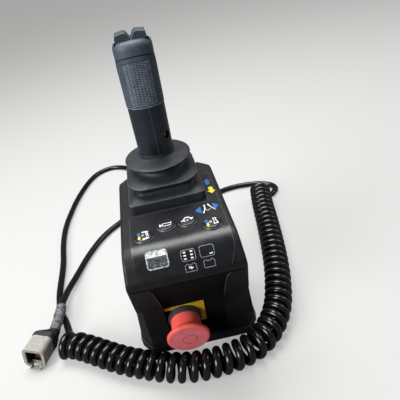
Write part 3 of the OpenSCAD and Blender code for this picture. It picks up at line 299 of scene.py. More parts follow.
ink_white = ink("screen_ink_white", "d8dadc", "f0f1f2")
ink_grey = ink("screen_ink_grey", "7c8084", "989ca0")
ink_blue = ink("screen_ink_blue", "1754a2", "2268be")
ink_yellow = ink("screen_ink_yellow", "e6d422", "f4e23a")
# Painted highlight: pale grey on the film at the keys' near rims, and along its die-cut edge
film_highlight = moulded("polyester_painted_highlight", "3a3b3e", "55575a", (0.3, 0.42), 0.5, 0.008, 3)
# Liquid crystal display behind clear film: dark slate, cloudy, with a glossy face
lcd_glass = moulded("lcd_glass_dark", "20252a", "535a60", (0.12, 0.2), 1.2, 0.01, 1.6)
# Painted reflection: its far part is coloured in pale silver clouds, for the room reflected in it
lcd_reflection = moulded("lcd_glass_painted_reflection", "8b9094", "d9dcde", (0.2, 0.35), 1.2, 0.01, 2.2)
# Frame printed in silver ink, uneven where it is worn
window_rim = moulded("silver_ink_frame", "66696c", "c4c7c9", (0.3, 0.45), 0.8, 0.01, 1.6)

# Finish of each CAD node
FINISH = {
    housing_abs: ["housing"],
    cover_abs: ["base_cover", "cable_gland", "gland_nut"],
    membrane_film: ["panel_overlay"],
    key_film: ["lift_button", "horn_button", "slow_button", "drive_button"],
    boot_epdm: ["boot"],
    grip_nylon: ["handle_cap", "grip_pad"],
    grip_dark_reflection: ["handle_grip"],
    rocker_nylon: ["rocker", "trigger"],
    stop_red: ["stop_head"],
    collar_nylon: ["stop_collar"],
    plate_vinyl: ["stop_plate"],
    jacket_pvc: ["lead_right", "coil", "lead_left"],
    sleeve_polyolefin: ["shrink_sleeve"],
    plug_rubber: ["connector_boot"],
    connector_pbt: ["connector_shell", "connector_latch"],
    block_pbt: ["terminal_block"],
    wedge_pbt: ["wedge_lock"],
    gasket_nbr: ["gland_seal", "stop_gasket"],
    inner_nylon: ["contact_block", "angle_sensor", "board_header", "display_module", "stop_plunger",
                  "display_window"],
    board_mask: ["circuit_board"],
    brass_turned: ["cover_inserts", "pivot_bushes"],
    steel_zinc: ["base_screws", "board_screws", "boot_clamp", "clamp_screws", "joystick_bracket",
                 "centring_springs", "stop_nut", "pivot_pin", "lever_hub", "lever_shaft",
                 "handle_screw", "rocker_pin", "trigger_pin"],
}
for material, node_names in FINISH.items():
    for node_name in node_names:
        for slot in NODES[node_name].material_slots:
            slot.material = material


# Meshes

# Points closer than this are one point
WELD = 0.002 * MM


def mesh_object(name, points, faces, material, sharp=35, slot=None):
    """A closed mesh from points in metres, smooth except where faces meet at more than sharp."""
    mesh = bpy.data.meshes.new(name)
    mesh.from_pydata(points, [], faces)
    work = bmesh.new()
    work.from_mesh(mesh)
    bmesh.ops.remove_doubles(work, verts=work.verts, dist=WELD)
    bmesh.ops.dissolve_degenerate(work, edges=work.edges, dist=WELD)
    bmesh.ops.recalc_face_normals(work, faces=work.faces)
    for face in work.faces:
        face.smooth = True
    for edge in work.edges:
        edge.smooth = len(edge.link_faces) == 2 and edge.calc_face_angle(0) < math.radians(sharp)
    work.to_mesh(mesh)
    work.free()
    mesh.materials.append(material)
    made = new_object(name, mesh)
    return made


def loft(name, rings, material, closed=False, sharp=35, slot=None):
    """A closed mesh through rings of equally many points; closed joins the last to the first."""
    n, points, faces = len(rings[0]), [p for ring in rings for p in ring], []
    last = len(rings) if closed else len(rings) - 1
    for k in range(last):
        a, b = k * n, (k + 1) % len(rings) * n
        faces += [(a + j, a + (j + 1) % n, b + (j + 1) % n, b + j) for j in range(n)]
    if not closed:
        faces += [tuple(range(n))[::-1], tuple((len(rings) - 1) * n + j for j in range(n))]
    return mesh_object(name, points, faces, material, sharp, slot)


def tube(name, paths, radius_mm, resolution, material):
    """A curve drawn as a round tube along each path of points in metres."""
    data = bpy.data.curves.new(name, "CURVE")
    data.dimensions = "3D"
    data.bevel_depth, data.bevel_resolution = radius_mm * MM, resolution
    data.use_fill_caps = True
    data.materials.append(material)
    for path in paths:
        spline = data.splines.new("POLY")
        spline.points.add(len(path) - 1)
        for point, p in zip(spline.points, path):
            point.co = (*p, 1)
        spline.use_smooth = True
    made = new_object(name, data)
    return made


def cut_away(piece, cutters, sharp=35):
    """Takes the cutters' shapes out of a piece and deletes them."""
    for cutter in cutters:
        cut = piece.modifiers.new("cut", "BOOLEAN")
        cut.operation, cut.object, cut.solver = "DIFFERENCE", cutter, "EXACT"
    bpy.context.view_layer.update()
    shown = piece.evaluated_get(bpy.context.evaluated_depsgraph_get())
    mesh = bpy.data.meshes.new_from_object(shown)
    mesh.set_sharp_from_angle(angle=math.radians(sharp))
    piece.modifiers.clear()
    piece.data = mesh
    for cutter in cutters:
        bpy.data.objects.remove(cutter)


def smooth_copy(node, material, sharp, bevel_mm):
    """Stands for a CAD node with the same shape, its facets shaded as one smooth surface."""
    source = NODES[node]
    points = [source.matrix_world @ v.co for v in source.data.vertices]
    faces = [tuple(f.vertices) for f in source.data.polygons]
    made = mesh_object(node + "_smooth", points, faces, material, sharp)
    if bevel_mm:
        bevel = made.modifiers.new("edge", "BEVEL")
        bevel.width, bevel.segments, bevel.limit_method = bevel_mm * MM, 2, "ANGLE"
        bevel.angle_limit = math.radians(sharp)
        bevel.harden_normals = True
    weigh = made.modifiers.new("even", "WEIGHTED_NORMAL")
    weigh.keep_sharp = True
    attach(made, body_of(source)[0])
    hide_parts(node)
    return made


# Cable: one cord from the gland, round the coil and on to the connector. The points are the
# same as in the part's source, in millimetres. First the cable's thickness, the height of its
# middle where it lies on the floor, and the coil across outside with the number of its curls.

CABLE_D, CABLE_Z = 8, 4.2
COIL_OD, CURLS = 29.6, 48
COIL_R, COIL_Z = (COIL_OD - CABLE_D) / 2, COIL_OD / 2 + 0.1
COIL_ROUTE = [
    (133, 190), (129, 170), (125, 148), (121.5, 124), (118, 102), (114.5, 81), (111, 62),
    (107.5, 44), (103.5, 26), (99.5, 10), (95, -5), (89, -23), (80, -41), (67, -58), (50, -71),
    (29, -78), (6, -80.5), (-16, -79.5), (-38, -74), (-60, -65), (-80, -55), (-99, -43),
    (-117, -31), (-132, -22.5), (-146, -19)]


def lying(*points):
    """Points of a lead that lies on the floor."""
    return [(x, y, CABLE_Z) for x, y in points]


LEAD_RIGHT = [(14, 86, 21), (17, 104, 12), (21, 121, 6)] + lying(
    (26, 140), (32, 160), (40, 180), (50, 199), (63, 214), (80, 224), (100, 228), (121, 227),
    (141, 222), (156, 212), (160, 200), (154, 191))
LEAD_LEFT = lying(
    (-150, 22), (-156, 36), (-160.5, 52), (-163, 72), (-163.5, 94), (-163.5, 116), (-164.5, 140),
    (-167, 164), (-168.5, 188), (-168.5, 212), (-166.5, 236), (-162.5, 260), (-158, 284),
    (-152, 307), (-144.5, 330), (-136, 351), (-125, 369), (-111, 380), (-95, 384), (-80, 380),
    (-64, 369), (-49, 353), (-36, 334), (-28, 312), (-26, 289), (-32, 266), (-43, 245),
    (-56, 227), (-70, 212), (-84, 199), (-98, 186), (-111, 170), (-122, 151), (-131.5, 131)
    ) + [(-139, 110, 4.8), (-145, 90, 6.8), (-149.5, 72, 9.8)]
SLEEVE_ROUTE = [(-153.6, 41, 14.6), (-154.6, 32, 14.8), (-155.6, 22, 15), (-156.8, 12, 15),
                (-158.4, 4, 15)]


def smooth(points, steps):
    """Points on the smooth curve through the given ones, steps to each span."""
    made = []
    for k in range(len(points) - 1):
        a, b = points[max(k - 1, 0)], points[k]
        c, d = points[k + 1], points[min(k + 2, len(points) - 1)]
        for s in range(steps):
            t = s / steps
            made.append(0.5 * (2 * b + (c - a) * t + (2 * a - 5 * b + 4 * c - d) * t * t
                               + (3 * b - 3 * c + d - a) * t ** 3))
    return made + [points[-1]]


# In a bend the curls are spaced as on a line this far inside the route. Its direction is taken
# over this share of it, and each curl is drawn with so many points.
CROWD_R, NEAR, CURL_POINTS = 0.75 * COIL_R, 0.004, 24


def coil_points():
    """The helix of the coiled stretch, and the ways in which it starts and ends."""
    line = smooth([Vector(p) for p in COIL_ROUTE], 5)
    reach = [0.0]
    for k in range(len(line) - 1):
        turn = abs((line[k] - line[k - 1]).angle_signed(line[k + 1] - line[k])) if k else 0
        reach.append(reach[-1] + (line[k + 1] - line[k]).length - CROWD_R * turn)

    def at(share):
        """The point on the coil's route at this share of its curls."""
        goal, k = min(max(share, 0), 1) * reach[-1], 0
        while k < len(line) - 2 and reach[k + 1] < goal:
            k += 1
        return line[k].lerp(line[k + 1], (goal - reach[k]) / (reach[k + 1] - reach[k]))
    made = []
    for i in range(CURLS * CURL_POINTS + 1):
        share = i / (CURLS * CURL_POINTS)
        along = (at(share + NEAR) - at(share - NEAR)).normalized()
        centre, angle = at(share), 2 * math.pi * i / CURL_POINTS - math.pi / 2
        made.append(Vector((centre.x + COIL_R * math.cos(angle) * along.y,
                            centre.y - COIL_R * math.cos(angle) * along.x,
                            COIL_Z + COIL_R * math.sin(angle))))
    first = (at(NEAR) - at(0)).normalized()
    last = (at(1) - at(1 - NEAR)).normalized()
    return made, Vector((first.y, -first.x, 0)), Vector((last.y, -last.x, 0))


# The gland stands square out of the box's leaning back: the box's height, its back at the top and
# how far the back runs out to the foot, then the gland's place and length
TOP_Z, BACK_Y, BACK_RUN = 167, 32, 13
GLAND_X, GLAND_Z, GLAND_LEN = 13, 24, 16
BACK_LEAN = math.atan(BACK_RUN / TOP_Z)
GLAND_WAY = Vector((0, math.cos(BACK_LEAN), math.sin(BACK_LEAN)))
GLAND_MOUTH = (Vector((GLAND_X, BACK_Y + (TOP_Z - GLAND_Z) * BACK_RUN / TOP_Z, GLAND_Z))
               + GLAND_LEN * GLAND_WAY)

# Frame of the connector: middle of its mouth, local Y towards the cable
PLUG = (Matrix.Translation((-175.5, -30, 17.6)) @ Matrix.Rotation(math.radians(-16), 4, "Z")
        @ Matrix.Rotation(math.radians(-8), 4, "X") @ Matrix.Rotation(math.radians(10), 4, "Y"))
# Its shell: half width and height, radius of the corners, and length
PLUG_HALF, PLUG_ROUND, PLUG_LEN = (11.5, 12.0), 5.0, 22
# The sleeve's largest radius, and how much tighter it lies between its waves and at its end
SLEEVE_R, SLEEVE_SLACK, SLEEVE_END = 6.2, 0.35, 0.5
# The connector's boot starts with rings that stand out of the shell and lie behind it so far
PLUG_LIP = [(-0.4, 0), (0.3, 0.1), (0.5, 0.5), (0.5, 2.2), (0.5, 4)]
# and tapers to its neck on the sleeve in even steps, some of them raised as ribs
NECK_R, TAPER_STEPS, RIB_STEPS, RIB_RISE = SLEEVE_R + 0.3, 12, (6, 8, 10), 0.35
# A black lining in its mouth, painted shade for the dark inside: rings by how far they stand out of the
# shell and lie in it, and a notch
SHADE_RINGS = [(-3.0, 1.6), (-3.25, 1.4), (-3.6, 1.6), (-3.6, 9.8), (-3.0, 9.8)]
SHADE_NOTCH, SHADE_NOTCH_Z = ((-6.3, -2), (6.3, -2), (6.3, 6.4), (-6.3, 6.4)), (-14, -7.5)


def box_ring(half_x, half_y, corner):
    """Offsets round a rounded rectangle; a corner as large as both halves makes a circle."""
    made = []
    for angle in around(96, 0.5):
        x = math.copysign(half_x - corner, math.cos(angle)) + corner * math.cos(angle)
        y = math.copysign(half_y - corner, math.sin(angle)) + corner * math.sin(angle)
        made.append((x, y))
    return made


def plug_ring(grow, y):
    """Ring round the connector at y behind its mouth, larger than the shell by grow."""
    return [PLUG @ Vector((x, y, z))
            for x, z in box_ring(PLUG_HALF[0] + grow, PLUG_HALF[1] + grow, PLUG_ROUND + grow)]


def in_metres(rings):
    """The same rings, turned from millimetres to metres."""
    return [[p * MM for p in ring] for ring in rings]


def make_plug_boot():
    """Moulded boot from the shell's back to the sleeve, with three shallow ribs."""
    end = Vector(SLEEVE_ROUTE[-1])
    run = (Vector(SLEEVE_ROUTE[-2]) - end).normalized()
    across = PLUG.to_3x3() @ Vector((1, 0, 0))
    across = (across - across.dot(run) * run).normalized()
    up = across.cross(run)
    rings = [plug_ring(grow, PLUG_LEN + behind) for grow, behind in PLUG_LIP]
    back, middle = rings[-1], PLUG @ Vector((0, PLUG_LEN + PLUG_LIP[-1][1], 0))
    neck = [x * across + z * up for x, z in box_ring(NECK_R, NECK_R, NECK_R)]
    for k in range(1, TAPER_STEPS + 1):
        t = k / TAPER_STEPS
        ease, rib = t * t * (3 - 2 * t), RIB_RISE if k in RIB_STEPS else 0
        spokes = [(b - middle).lerp(n, ease) for b, n in zip(back, neck)]
        rings.append([middle.lerp(end, t) + s * (1 + rib / s.length) for s in spokes])
    boot = loft("plug_boot", in_metres(rings), plug_rubber, False, 40, "boot_black")
    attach(boot, "box")
    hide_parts("connector_boot")
    return boot


def make_sleeve():
    """Shrunk sleeve: tight on the cable, with slight waves where it drew in unevenly."""
    line = smooth([Vector(p) for p in SLEEVE_ROUTE], 8)
    rings = []
    for k, p in enumerate(line):
        run = (line[min(k + 1, len(line) - 1)] - line[max(k - 1, 0)]).normalized()
        across = run.cross(Vector((0, 0, 1))).normalized()
        up = across.cross(run)
        tight = SLEEVE_R - SLEEVE_SLACK - (SLEEVE_END if k == 0 else 0)
        ring = []
        # Three waves and two shallower ones go round it, and both turn along it
        for a in around(64):
            r = tight + 0.22 * math.sin(3 * a + 0.5 * k) + 0.18 * math.sin(2 * a - 0.9 * k)
            ring.append(p + r * math.cos(a) * across + r * math.sin(a) * up)
        rings.append(ring)
    sleeve = loft("shrunk_tube", in_metres(rings), sleeve_polyolefin, False, 40, "sleeve_rubber")
    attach(sleeve, "box")
    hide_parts("shrink_sleeve")
    return sleeve


def make_mouth_shade():
    """Black lining in the connector's mouth that paints its shade, notched at its foot."""
    liner = loft("mouth_shade_lining", in_metres([plug_ring(*row) for row in SHADE_RINGS]), gasket_nbr,
                 True, 40, "gasket_rubber")
    notch = [[PLUG @ Vector((x, y, z)) for x, y in SHADE_NOTCH] for z in SHADE_NOTCH_Z]
    cut_away(liner, [loft("cutter", in_metres(notch), gasket_nbr)])
    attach(liner, "box")
    return liner


def make_cord():
    """The cable along its whole length, with the pieces that lie on it."""
    curls, into, out = coil_points()
    sleeve = [Vector(p) for p in SLEEVE_ROUTE]
    run = (sleeve[1] - sleeve[0]).normalized()
    right = smooth([GLAND_MOUTH, GLAND_MOUTH + CABLE_D * GLAND_WAY]
                   + [Vector(p) for p in LEAD_RIGHT]
                   + [curls[0] - 2 * CABLE_D * into, curls[0] - CABLE_D * into], 4)
    left = smooth([curls[-1] + CABLE_D * out, curls[-1] + 2 * CABLE_D * out]
                  + [Vector(p) for p in LEAD_LEFT] + [sleeve[0] - CABLE_D * run, sleeve[0]], 4)
    points = right + curls + left
    cord = tube("spiral_cable", in_metres([points]), CABLE_D / 2, 5, jacket_pvc)
    length = sum((b - a).length for a, b in zip(points, points[1:])) * MM
    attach(cord, "box")
    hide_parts("lead_right", "coil", "lead_left")
    make_sleeve()
    make_plug_boot()
    # A black lining paints the shade inside the connector's mouth
    make_mouth_shade()
    smooth_copy("connector_shell", connector_pbt, 30, 0.35)
    smooth_copy("connector_latch", connector_pbt, 30, 0.25)
    smooth_copy("wedge_lock", wedge_pbt, 30, 0.2)


make_cord()


# Joystick boot: one moulded skin, drawn up its outside and back down its inside. Each row is the
# half width, the corner radius and the height. The joystick's axis stands at STICK_X.

STICK_X = -1.8
BOOT_OUT = [
    (31.5, 4, 167.05), (31.5, 4, 173.4), (31.45, 4, 174.0), (31.2, 4, 174.5), (30.7, 4, 174.9),
    (27.5, 4.5, 176.3), (25.2, 5, 177.2), (24.2, 5.4, 177.6), (23.6, 5.8, 178.3),
    (23.4, 6, 179.2), (23.4, 6.4, 180.4), (23.8, 7.2, 181.3), (25.0, 9, 182.4),
    (28.2, 14, 184.0), (28.9, 15.6, 184.4), (29.25, 16.4, 184.9), (29.3, 16.8, 185.5),
    (29.15, 16.8, 186.0), (28.7, 16.8, 186.4), (26.4, 17.5, 187.3), (23.6, 19, 188.6),
    (21.6, 20.5, 189.6), (20.3, 20.3, 190.6), (19.6, 19.6, 191.6), (19.3, 19.3, 192.8),
    (19.5, 19.5, 193.9), (20.4, 20.4, 194.9), (25.2, 25.2, 197.4), (26.5, 26.5, 197.9),
    (27.0, 27.0, 198.2), (27.2, 27.2, 198.7), (27.1, 27.1, 199.1), (26.7, 26.7, 199.4),
    (24.0, 24.0, 200.0), (18.5, 18.5, 200.9), (15.2, 15.2, 201.7), (13.6, 13.6, 202.7),
    (12.9, 12.9, 203.5), (12.5, 12.5, 203.9)]
BOOT_THICK = 1.1
# Heights of its three rims, coloured pale as painted highlight where they stand out from the axis this far
BOOT_RIMS, RIM_REACH = [(174.0, 174.95), (185.45, 186.45), (198.65, 199.45)], 26.4
# It stays with the box up to the first height and follows the lever from the second
BOOT_FIXED_Z, BOOT_FREE_Z = 177, 199


def make_boot():
    """The three-tiered boot, which bends between the box and the lever."""
    inside = [(half - BOOT_THICK, max(corner - BOOT_THICK, 1), z)
              for half, corner, z in reversed(BOOT_OUT)]
    rings = [[mm(STICK_X + x, y, z) for x, y in box_ring(half, half, corner)]
             for half, corner, z in BOOT_OUT + inside]
    boot = loft("boot_skin", rings, boot_epdm, True, 50, "boot_rubber")
    boot.data.materials.append(boot_rim_highlight)
    # Faces on the rims take the pale painted highlight
    for face in boot.data.polygons:
        x, y, z = face.center / MM
        if math.hypot(x - STICK_X, y) > RIM_REACH and any(a < z < b for a, b in BOOT_RIMS):
            face.material_index = 1
    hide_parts("boot")
    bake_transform(boot, "box", "lever", mm(STICK_X, 0, BOOT_FIXED_Z), mm(STICK_X, 0, BOOT_FREE_Z))


make_boot()


# Panel: its surface is followed by the distance s from where the top starts to bend: level, bend,
# slope and lip

NOSE_Y, BEND_R, SLOPE_A = 72, 20, math.radians(55)
SLOPE_LEN, LIP_R = 8.7, 10
BEND_LEN = BEND_R * SLOPE_A


def on_panel(x, s, lift):
    """A point on the panel, lift off the housing's surface."""
    if s <= 0:
        return mm(x, -NOSE_Y - s, TOP_Z + lift)
    turn = min(s / BEND_R, SLOPE_A)
    y = -NOSE_Y - (BEND_R + lift) * math.sin(turn)
    z = TOP_Z - BEND_R + (BEND_R + lift) * math.cos(turn)
    rest = max(s - BEND_LEN, 0)
    run = min(rest, SLOPE_LEN)
    y, z = y - run * math.cos(SLOPE_A), z - run * math.sin(SLOPE_A)
    rest -= run
    if rest > 0:
        # Round the lip, whose centre lies square under the slope's end
        cy, cz = y + (LIP_R + lift) * math.sin(SLOPE_A), z - (LIP_R + lift) * math.cos(SLOPE_A)
        turn = SLOPE_A + rest / LIP_R
        y, z = cy - (LIP_R + lift) * math.sin(turn), cz + (LIP_R + lift) * math.cos(turn)
    return mm(x, y, z)


def slab(name, outline, place, low, high, material, step, slot):
    """A thin closed plate with a flat outline, cut into a grid of step and laid by place."""
    work = bmesh.new()
    loop = [work.verts.new((u, v, 0)) for u, v in outline]
    work.faces.new(loop)
    for axis, normal in ((0, (1, 0, 0)), (1, (0, 1, 0))):
        reach = [p[axis] for p in outline]
        at = min(reach) + step / 2
        while at < max(reach):
            where = (at, 0, 0) if axis == 0 else (0, at, 0)
            bmesh.ops.bisect_plane(work, geom=work.verts[:] + work.edges[:] + work.faces[:],
                                   plane_co=where, plane_no=normal, dist=1e-5)
            at += step
    work.verts.index_update()
    flat = [tuple(v.co) for v in work.verts]
    faces = [[v.index for v in f.verts] for f in work.faces]
    rim = [(e.verts[0].index, e.verts[1].index) for e in work.edges if len(e.link_faces) == 1]
    work.free()
    n = len(flat)
    points = [place(u, v, h) for h in (high, low) for u, v, _ in flat]
    faces += [[n + k for k in reversed(f)] for f in faces]
    faces += [(a, b, n + b, n + a) for a, b in rim]
    return mesh_object(name, points, faces, material, 30, slot)


# Outlines of printed marks, as flat points

def rounded(x0, y0, x1, y1, radii, steps=6):
    """A rectangle with rounded corners, radii from the lower left, anticlockwise."""
    made = []
    for k, (cx, cy) in enumerate(((x0, y0), (x1, y0), (x1, y1), (x0, y1))):
        r = radii[k]
        dx, dy = (r if cx == x0 else -r), (r if cy == y0 else -r)
        for j in range(steps + 1):
            a = math.pi * (1 + k / 2) + math.pi / 2 * j / steps
            made.append((cx + dx + r * math.cos(a), cy + dy + r * math.sin(a)))
    return made


def disc(cx, cy, r, steps=18):
    """A circle."""
    return [(cx + r * math.cos(a), cy + r * math.sin(a)) for a in around(steps)]


def arc(cx, cy, r, a0, a1, steps=14):
    """Part of a circle between two angles in degrees."""
    angles = [math.radians(a0 + (a1 - a0) * k / steps) for k in range(steps + 1)]
    return [(cx + r * math.cos(a), cy + r * math.sin(a)) for a in angles]


def arrow(cx, cy, wide, tall, way):
    """A short block arrow that points up (way 1) or down (way -1)."""
    w, t = wide / 2, tall / 2
    neck = cy + 0.1 * way * t
    return [(cx - 0.5 * w, cy - way * t), (cx + 0.5 * w, cy - way * t), (cx + 0.5 * w, neck),
            (cx + w, neck), (cx, cy + way * t), (cx - w, neck), (cx - 0.5 * w, neck)]


def inset(outline, gap):
    """The outline moved inwards by gap."""
    made, n = [], len(outline)
    for k, (x, y) in enumerate(outline):
        ax, ay = outline[k - 1]
        bx, by = outline[(k + 1) % n]
        run = Vector((bx - ax, by - ay, 0)).normalized()
        made.append((x - run.y * gap, y + run.x * gap))
    return made


# Screen-printed marks: thin closed layers of ink. Half the thickness of a layer, drawn thicker
# than ink so that it stays closed, and the spacing of the stations along its lines.
INK_HALF, STATION = 0.07, 0.7


def evenly(points, closed):
    """The same polyline with stations no further apart than STATION."""
    ends = points[1:] + (points[:1] if closed else [])
    made = []
    for (ax, ay), (bx, by) in zip(points, ends):
        parts = max(1, math.ceil(math.hypot(bx - ax, by - ay) / STATION))
        made += [(ax + (bx - ax) * k / parts, ay + (by - ay) * k / parts) for k in range(parts)]
    return made if closed else made + [points[-1]]


def inked_line(points, width, place, h, closed=False):
    """Points and faces of a line of ink; width is one number or one for each end."""
    path = [Vector((x, y, 0)) for x, y in evenly(list(points), closed)]
    first, last = (width, width) if isinstance(width, (int, float)) else width
    n, made = len(path), []
    for k, p in enumerate(path):
        before = path[k - 1] if closed or k else p
        after = path[(k + 1) % n] if closed or k < n - 1 else p
        run = (after - before).normalized()
        half = (first + (last - first) * k / max(n - 1, 1)) / 2
        side = Vector((-run.y, run.x, 0)) * half
        made += [place(p.x + way * side.x, p.y + way * side.y, h + up * INK_HALF)
                 for way, up in ((1, 1), (-1, 1), (-1, -1), (1, -1))]
    faces = []
    for k in range(n if closed else n - 1):
        a, b = 4 * k, 4 * ((k + 1) % n)
        faces += [(a + j, a + (j + 1) % 4, b + (j + 1) % 4, b + j) for j in range(4)]
    if not closed:
        faces += [(3, 2, 1, 0), tuple(4 * (n - 1) + j for j in range(4))]
    return made, faces


def inked_shape(points, place, h):
    """Points and faces of a filled patch of ink."""
    n = len(points)
    made = [place(x, y, h + up * INK_HALF) for up in (1, -1) for x, y in points]
    faces = [tuple(range(n)), tuple(range(2 * n - 1, n - 1, -1))]
    faces += [(k, (k + 1) % n, n + (k + 1) % n, n + k) for k in range(n)]
    return made, faces


def print_marks(name, body, finish, place, h, lines=(), shapes=(), loops=(), slot="membrane"):
    """One piece of one ink, h over place: lines are (points, width), loops are closed lines."""
    points, faces = [], []
    for made, corners in ([inked_line(path, width, place, h) for path, width in lines]
                          + [inked_line(path, width, place, h, True) for path, width in loops]
                          + [inked_shape(outline, place, h) for outline in shapes]):
        faces += [tuple(len(points) + k for k in face) for face in corners]
        points += made
    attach(mesh_object(name, points, faces, finish, 40, slot), body)


# Membrane: its sides and the inner side of the arm that runs back beside the boot, then by s its
# near end, its far end and the arm's, and where the near end narrows to which sides
FILM_LEFT, FILM_RIGHT, ARM_LEFT = -35.5, 38.8, 30.2
FILM_END, FILM_FAR, ARM_FAR = 30.3, -36.2, -79.0
NARROW_AT, NARROW_LEFT, NARROW_RIGHT = 18, -31, 34
# Radii of its far left corner and of the arm's outer one
FILM_ROUND, ARM_ROUND = 3.2, 3
# The film reaches from just over the housing to FILM_TOP. A fine pale line of painted highlight runs along
# its die-cut edge.
FILM_FOOT, FILM_TOP = 0.02, 0.6
EDGE_IN, EDGE_WIDE = 0.3, 0.32
# Middles of the keys, and the holes for them in the film
KEYS = {"lift_key": (-24.94, -65), "horn_key": (-6.966, -57), "slow_key": (9.718, -57.2),
        "drive_key": (26.918, -66.8)}
HOLE_R, CUT_Z = 6.55, (TOP_Z - 3, TOP_Z + 3)


def make_membrane():
    """Film with rounded corners and a hole for each key, and its die-cut edge."""
    left = [(1 - math.cos(a), 1 - math.sin(a)) for a in (0, 0.4, 0.8, 1.2, math.pi / 2)]
    right = [(1 - math.sin(a), 1 - math.cos(a)) for a in (0, 0.5, 1.0, math.pi / 2)]
    outline = [(FILM_LEFT + FILM_ROUND * x, FILM_FAR + FILM_ROUND * s) for x, s in left]
    outline += [(ARM_LEFT, FILM_FAR), (ARM_LEFT, ARM_FAR)]
    outline += [(FILM_RIGHT - ARM_ROUND * x, ARM_FAR + ARM_ROUND * s) for x, s in right]
    outline += [(FILM_RIGHT, NARROW_AT), (NARROW_RIGHT, FILM_END), (NARROW_LEFT, FILM_END),
                (FILM_LEFT, NARROW_AT)]
    film = slab("membrane_sheet", outline, on_panel, FILM_FOOT, FILM_TOP, membrane_film, 1.6,
                "membrane")
    cut_away(film, [loft("cutter", [[mm(x, y, z) for x, y in disc(*middle, HOLE_R, 48)]
                                    for z in CUT_Z], membrane_film) for middle in KEYS.values()])
    # The near end's edge lies under the lip and has no line
    line = inset(outline, EDGE_IN)
    print_marks("membrane_edge", "box", film_highlight, on_panel, FILM_TOP,
                lines=((line[-1:] + line[:-2], EDGE_WIDE),))
    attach(film, "box")
    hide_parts("panel_overlay")


make_membrane()


# Keys: the dome of each as (radius, height over its foot), and the ring of film embossed round it
KEY_FOOT = 167.5
DOME = [(6.45, -1.2), (6.45, 0.9), (6.35, 1.25), (6.1, 1.5), (5.7, 1.65), (5.0, 1.76),
        (4.0, 1.82), (2.0, 1.86), (0.5, 1.86)]
EMBOSS = [(6.62, -0.1), (6.62, 1.0), (6.8, 1.12), (7.1, 1.08), (7.5, 0.8), (7.8, 0.45),
          (7.95, 0.1), (7.95, -0.1)]
# The near side of the ring has a lighter crescent of painted highlight: its radius, the height and
# the fall of the ring there, and the crescent's width
CRESCENT_R, CRESCENT_H, CRESCENT_FALL, CRESCENT_WIDE = 7.45, 0.84, 1.05, 0.62
# Marks on a key are drawn as the camera sees them: how much wider and taller they lie on the
# dome, how far nearer, and how high over it
MARK_WIDE, MARK_TALL, MARK_NEAR, MARK_LIFT = 0.92, 1.2, 0.3, 0.06


def dome_height(r):
    """Height of a key's surface at r from its middle."""
    for (r1, h1), (r2, h2) in zip(DOME[1:], DOME[2:]):
        if r >= r2:
            return h1 + (h2 - h1) * min((r1 - r) / (r1 - r2), 1) if r < r1 else h1
    return DOME[-1][1]


def on_key(key):
    """Place on a key's dome for marks drawn round its middle."""
    cx, cy = KEYS[key]

    def place(u, v, h):
        x, y = MARK_WIDE * u, MARK_TALL * v
        return mm(cx + x, cy + y - MARK_NEAR, KEY_FOOT + dome_height(math.hypot(x, y)) + h)
    return place


def on_ring(key):
    """Place on the near side of the ring round a key, which falls away outwards."""
    cx, cy = KEYS[key]
    top = KEY_FOOT + CRESCENT_H
    return lambda u, v, h: mm(cx + u, cy + v, top + CRESCENT_FALL * (CRESCENT_R - math.hypot(u, v)) + h)


def turned(key, profile):
    """Rings round a key's middle from a profile of (radius, height)."""
    return [[mm(x, y, KEY_FOOT + h) for x, y in disc(*KEYS[key], r, 64)] for r, h in profile]


for key in KEYS:
    dome = loft(key + "_dome", turned(key, DOME), key_film, False, 50, "button_plastic")
    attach(dome, key)
    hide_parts(key.replace("_key", "_button"))
    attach(loft(key + "_ring", turned(key, EMBOSS), key_film, True, 50, "membrane"), "box")


